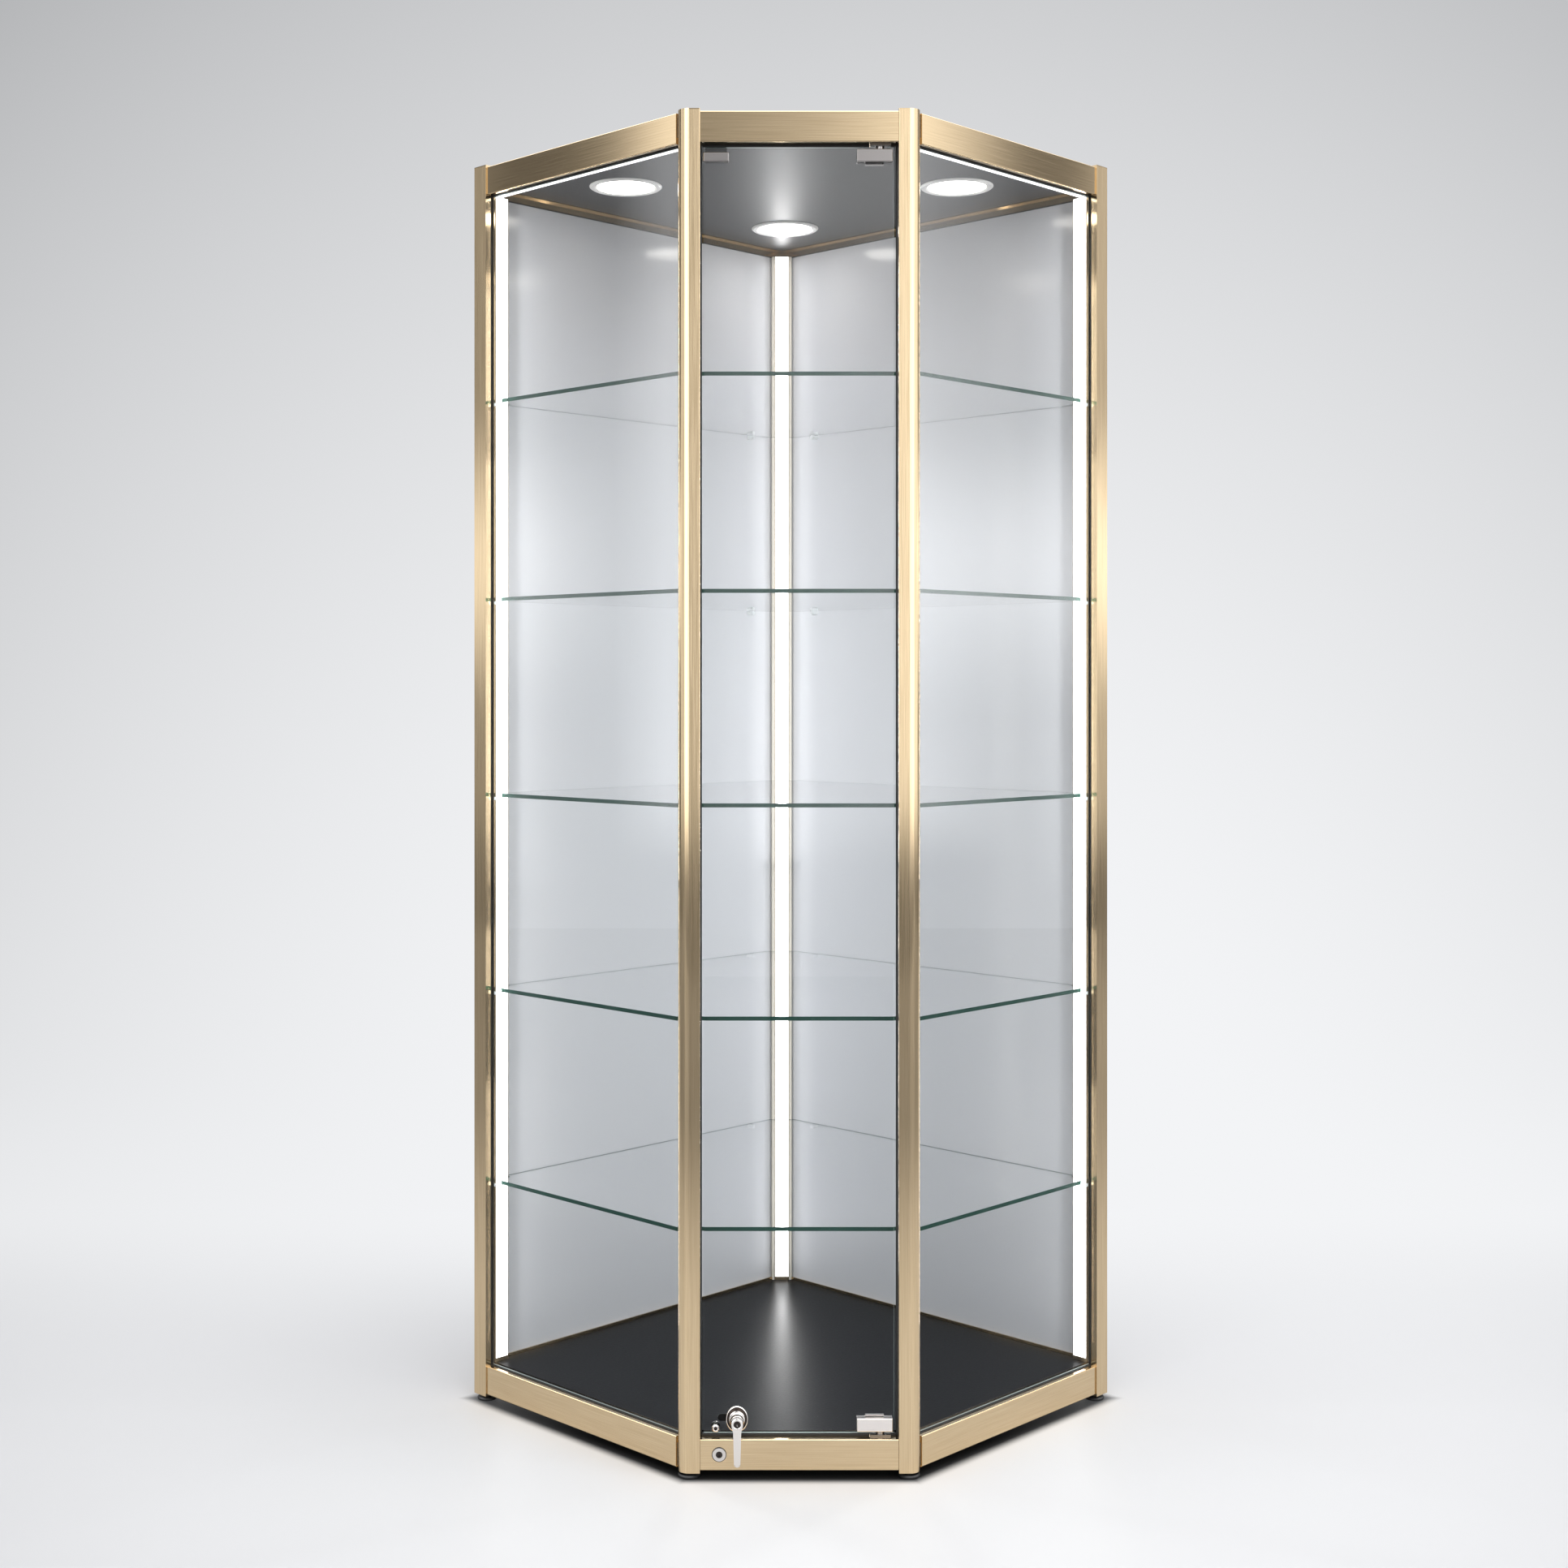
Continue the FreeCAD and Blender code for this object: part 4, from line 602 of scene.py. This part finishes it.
def litOpal(name, colour, strength):
    # opal plastic with lamps behind it; on the white ceiling strips, which have no lamp behind
    # them, the same glow is painted light
    material, tree = newMaterial(name)
    opal = add(tree, "ShaderNodeBsdfPrincipled", {
        "Base Color": linear("#F2F2F2"), "Roughness": 0.4, "Emission Color": linear(colour),
        "Emission Strength": strength})
    add(tree, "ShaderNodeOutputMaterial", {"Surface": opal.outputs[0]})
    return material


wear(litOpal("opal diffuser over lighting tape", "#FFFFFF", 3.0), "led_diffusers")
wear(litOpal("opal lens over a lamp", "#FFFBF4", 9.0), "downlight_lenses")


# the corner light's aluminium wings, which lie against both back panels
wings = {"low": 0.0602, "high": 1.9316,
         "section": [(0.0134, -0.0300), (0.0136, -0.0309), (0.0162, -0.0309), (0.0165, -0.0302),
                     (0.0185, -0.0262), (0.0134, -0.0262)]}


def makeWings(w):
    mesh = bmesh.new()
    room = standing(alongWall(0, 0, 0))
    for side in (-1, 1):
        run(mesh, [(side * x, y) for x, y in w["section"]], w["low"], w["high"], room)
    wear(satinBoard("champagne-white powder coat", "#EFE8DA", 0.4, 0.002),
         settle("corner_light_wings", mesh, "cabinet"))


makeWings(wings)


# the side panes' clear glazing lips, which catch the light in a fine line all round
lips = {"section": [(0.0027, 0.0580), (0.0027, 0.0590), (0.0034, 0.0592), (0.0040, 0.0587),
                    (0.0040, 0.0580)],
        "start": 0.0150, "end": 0.4498, "high": 1.9890}


def makeLips(s):
    mesh = bmesh.new()
    above = [(u, s["high"] - v) for u, v in s["section"]]
    for axes in (alongWall(-0.488, -0.488, -45), alongWall(0.1595, -0.8165, 45)):
        for section in (s["section"], above):
            run(mesh, section, s["start"], s["end"], axes)
    wear(satinBoard("clear moulded lip, grey-green", "#A5B0AD", 0.2, 0.002),
         settle("glazing_lips", mesh, "cabinet"))


makeLips(lips)


# a white strip under each side's top rail, given a painted glow that stands in for the light strips
# picking it out
coving = {"start": 0.0146, "end": 0.4500,
          "section": [(0.0069, 1.9292), (0.0100, 1.9284), (0.0142, 1.9300), (0.0142, 1.9427),
                      (0.0069, 1.9427)]}


def makeCoving(c):
    mesh = bmesh.new()
    run(mesh, c["section"], c["start"], c["end"], alongWall(-0.488, -0.488, -45))
    run(mesh, c["section"], c["start"], c["end"], alongWall(0.1595, -0.8165, 45))
    wear(litOpal("white strip, painted glow", "#FFFFFF", 1.4),
         settle("ceiling_strips", mesh, "cabinet"))


makeCoving(coving)


# what each strip throws into the cabinet: a narrow lamp just in front of its diffuser
glow = {"upper": dict(watts=1.15, width=0.014, height=1.10, level=1.375),
        "lower": dict(watts=0.42, width=0.014, height=0.72, level=0.450)}
strips = {"back": dict(place=(0, -0.0335), aim=(0, -1), share=0.75),
          "back, wide": dict(place=(0, -0.0750), aim=(0, -1), share=0.42),
          "back, left edge": dict(place=(-0.0200, -0.0360), aim=(-0.4, 0.9), share=0.02),
          "back, right edge": dict(place=(0.0200, -0.0360), aim=(0.4, 0.9), share=0.02),
          "left": dict(place=(-0.4700, -0.5100), aim=(1, 0), share=1.0),
          "right": dict(place=(0.4700, -0.5100), aim=(-1, 0), share=1.0)}


def makeGlow(name, watts, width, height, level):
    for strip, its in strips.items():
        data = bpy.data.lights.new(f"{name} strip, {strip}", "AREA")
        data.shape = "RECTANGLE"
        data.size, data.size_y = width, height
        data.energy = watts * its["share"]
        lamp = bpy.data.objects.new(data.name, data)
        lamp.location = (*its["place"], level)
        lamp.rotation_euler = Vector((*its["aim"], 0)).to_track_quat("-Z", "Y").to_euler()
        lamp.visible_camera = lamp.visible_transmission = False
        bpy.context.scene.collection.objects.link(lamp)


for name, part in glow.items():
    makeGlow(name, **part)
print("lights made")


# ---- chrome and steel ----

def platedMetal(name, colour, roughness, grain):
    # nickel and chrome plate over a turned or cast base
    material, tree = newMaterial(name)
    place = add(tree, "ShaderNodeTexCoord")
    base = add(tree, "ShaderNodeTexNoise", {"Vector": place.outputs["Object"],
                                            "Scale": 1 / grain, "Detail": 2.0})
    rough = add(tree, "ShaderNodeMapRange", {"Value": base.outputs["Fac"],
                                             "To Min": roughness * 0.85,
                                             "To Max": roughness * 1.15})
    plate = add(tree, "ShaderNodeBsdfPrincipled", {
        "Base Color": linear(colour), "Metallic": 1.0, "Roughness": rough.outputs["Result"]})
    add(tree, "ShaderNodeOutputMaterial", {"Surface": plate.outputs[0]})
    return material


# one satin chrome in two tones: the lower hinge clamp's copy is painted lighter than the upper's,
# lit and shaded copies of the same plate
satinChrome = platedMetal("satin chrome plate", "#8D8987", 0.20, 0.0008)
paintedLighterChrome = platedMetal("satin chrome plate, painted lighter", "#DAD4D0", 0.20, 0.0008)
brightChrome = platedMetal("bright chrome plate", "#CFCBC8", 0.05, 0.004)
# the chrome in the lock's recesses is painted dark, a painted shade in its hollows
recessShadeChrome = platedMetal("bright chrome plate, painted dark as shade in its recesses", "#3B3430", 0.10, 0.003)
wear(satinChrome, "upper_hinge_clamp", "strike_clip", "hinge_pivots")
wear(paintedLighterChrome, "lower_hinge_clamp")
wear(floatGlass("clear moulded polycarbonate", (0, 0, 1), "#F1F4F4", 0.8), "shelf_clips")
wear(satinBoard("light grey painted ring", "#D8D6D4", 0.35, 0.002), "downlight_bezels")
wear(brightChrome, "rail_lock_barrel")
# the key plugs are painted dark, a painted shade inside the keyholes
wear(platedMetal("nickel plate, painted dark as keyhole shade", "#3A3533", 0.22, 0.003), "key_plug", "rail_lock_tongue")
wear(platedMetal("zinc-plated steel", "#9B9DA0", 0.35, 0.003), "hinge_screws",
     "corner_connectors")
wear(platedMetal("blackened steel", "#1E1D1D", 0.40, 0.003), "lock_cam")


lock = {
    "x": -0.090, "z": 0.081, "glass": -0.8125, "ovalWidth": 0.016, "ovalHeight": 0.019,
    # radius and depth in front of the glass
    "rosette": [(0.0092, 0.0), (0.016, 0.0), (0.016, 0.0008), (0.0157, 0.0015), (0.0148, 0.0019),
                (0.0138, 0.0015), (0.0130, 0.0013), (0.0122, 0.0017), (0.0112, 0.0026),
                (0.0100, 0.0030), (0.0092, 0.0030)],
    "rosetteRecess": (4, 5, 6, 7),
    "barrel": [(0.0041, 0.0150), (0.0084, 0.0150), (0.0090, 0.0144), (0.0090, 0.0102),
               (0.0084, 0.0098), (0.0084, 0.0090), (0.0098, 0.0088), (0.0105, 0.0082),
               (0.0105, 0.0036), (0.0101, 0.0031), (0.0091, 0.0031), (0.0089, 0.0029),
               (0.0089, -0.0049), (0.0105, -0.0051), (0.0105, -0.0071), (0.0101, -0.0074),
               (0.0041, -0.0074)],
    "barrelRecess": (3, 4, 5, 8),
}


def makeLock(k):
    axis = (k["x"], k["glass"], k["z"])
    mesh = bmesh.new()
    turnOnLathe(mesh, k["rosette"], axis, 96, (k["ovalWidth"], k["ovalHeight"]),
                k["rosetteRecess"])
    rosette = settle("oval_rosette", mesh, "door", 60)
    wear(brightChrome, rosette)
    rosette.data.materials.append(recessShadeChrome)
    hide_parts("lock_rosette")
    mesh = bmesh.new()
    turnOnLathe(mesh, k["barrel"], axis, recess=k["barrelRecess"])
    barrel = settle("turned_lock_barrel", mesh, "door", 30)
    wear(brightChrome, barrel)
    barrel.data.materials.append(recessShadeChrome)
    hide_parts("lock_barrel")


makeLock(lock)


handle = {
    "hubFront": 0.0254, "hubBack": 0.0154, "hubRadius": 0.0086, "keyHole": 0.00505,
    "keyDepth": 0.0182, "spindle": 0.0040, "spindleEnd": -0.0102,
    "armFront": 0.0236, "armBack": 0.0191, "drop": 0.0625, "rootHalf": 0.0058, "tipHalf": 0.0046,
    # half of the arm's outline where it leaves the hub, from the axis
    "cheek": [(-0.0084, -0.001), (-0.0080, -0.0042), (-0.0064, -0.0094)], "rootDrop": 0.0125,
    "softness": 0.0011,
}


def makeHandle(h):
    axis = (lock["x"], lock["glass"], lock["z"])
    mesh = bmesh.new()
    radius, soft = h["hubRadius"], h["softness"]
    turnOnLathe(mesh, [
        (0.0, h["keyDepth"]), (h["keyHole"], h["keyDepth"]), (h["keyHole"], h["hubFront"] - 0.0004),
        (h["keyHole"] + 0.0005, h["hubFront"]), (radius - soft, h["hubFront"]),
        (radius - soft * 0.3, h["hubFront"] - soft * 0.3), (radius, h["hubFront"] - soft),
        (radius, h["hubBack"] + soft * 0.5), (radius - soft * 0.5, h["hubBack"]),
        (h["spindle"], h["hubBack"]), (h["spindle"], h["spindleEnd"]), (0.0, h["spindleEnd"]),
    ], axis)
    # the arm, drawn from its cheeks on the hub down to the round tip
    cheek = h["cheek"] + [(-h["rootHalf"], -h["rootDrop"])]
    outline = list(cheek)
    bend = h["drop"] - h["tipHalf"]
    for step in range(13):
        turn = math.pi * step / 12
        outline.append((-h["tipHalf"] * math.cos(turn), -bend - h["tipHalf"] * math.sin(turn)))
    outline += [(-x, z) for x, z in reversed(cheek)]
    arm = bmesh.new()
    rings = []
    for depth in (h["armFront"], h["armBack"]):
        rings.append([arm.verts.new((axis[0] + x, axis[1] - depth, axis[2] + z))
                      for x, z in outline])
    front = arm.faces.new(rings[0])
    arm.faces.new(rings[1])
    for i in range(len(outline)):
        j = (i + 1) % len(outline)
        arm.faces.new((rings[0][i], rings[0][j], rings[1][j], rings[1][i]))
    bmesh.ops.bevel(arm, geom=list(front.edges), offset=soft, segments=3, affect="EDGES",
                    clamp_overlap=True)
    armData = bpy.data.meshes.new("arm")
    bmesh.ops.recalc_face_normals(arm, faces=arm.faces)
    arm.to_mesh(armData)
    arm.free()
    mesh.from_mesh(armData)
    bpy.data.meshes.remove(armData)
    lever = settle("door_lever", mesh, "handle", 40)
    wear(platedMetal("satin chrome plate, lever", "#DDD8D4", 0.14, 0.003), lever)
    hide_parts("handle_lever")


makeHandle(handle)


stud = {
    "x": -0.121, "z": 0.0678,
    "profile": [(0.0, 0.0012), (0.0024, 0.0012), (0.0026, 0.0028), (0.0040, 0.0030),
                (0.0050, 0.0024), (0.0055, 0.0014), (0.0055, 0.0), (0.0025, 0.0),
                (0.0025, -0.0106), (0.0065, -0.0106), (0.0065, -0.0126), (0.0, -0.0126)],
    "recess": (0, 1),
}


def makeStud(t):
    mesh = bmesh.new()
    turnOnLathe(mesh, t["profile"], (t["x"], lock["glass"], t["z"]), 48, recess=t["recess"])
    piece = settle("socketed_stud", mesh, "door", 30)
    wear(brightChrome, piece)
    piece.data.materials.append(recessShadeChrome)
    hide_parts("strike_stud")


makeStud(stud)


# a thin black ring round the rail lock's flange, a dark piece put as painted shade for the lock's
# contact shadow
shadowRing = {"x": -0.116, "z": 0.0355, "face": -0.8295,
          "profile": [(0.0097, 0.0001), (0.0107, 0.0001), (0.0106, 0.0006), (0.0098, 0.0008)]}


def makeShadowRing(w):
    mesh = bmesh.new()
    turnOnLathe(mesh, w["profile"], (w["x"], w["face"], w["z"]), 64)
    wear(blackRubber, settle("rail_lock_shadow_ring", mesh, "cabinet"))


makeShadowRing(shadowRing)
print("hardware made")
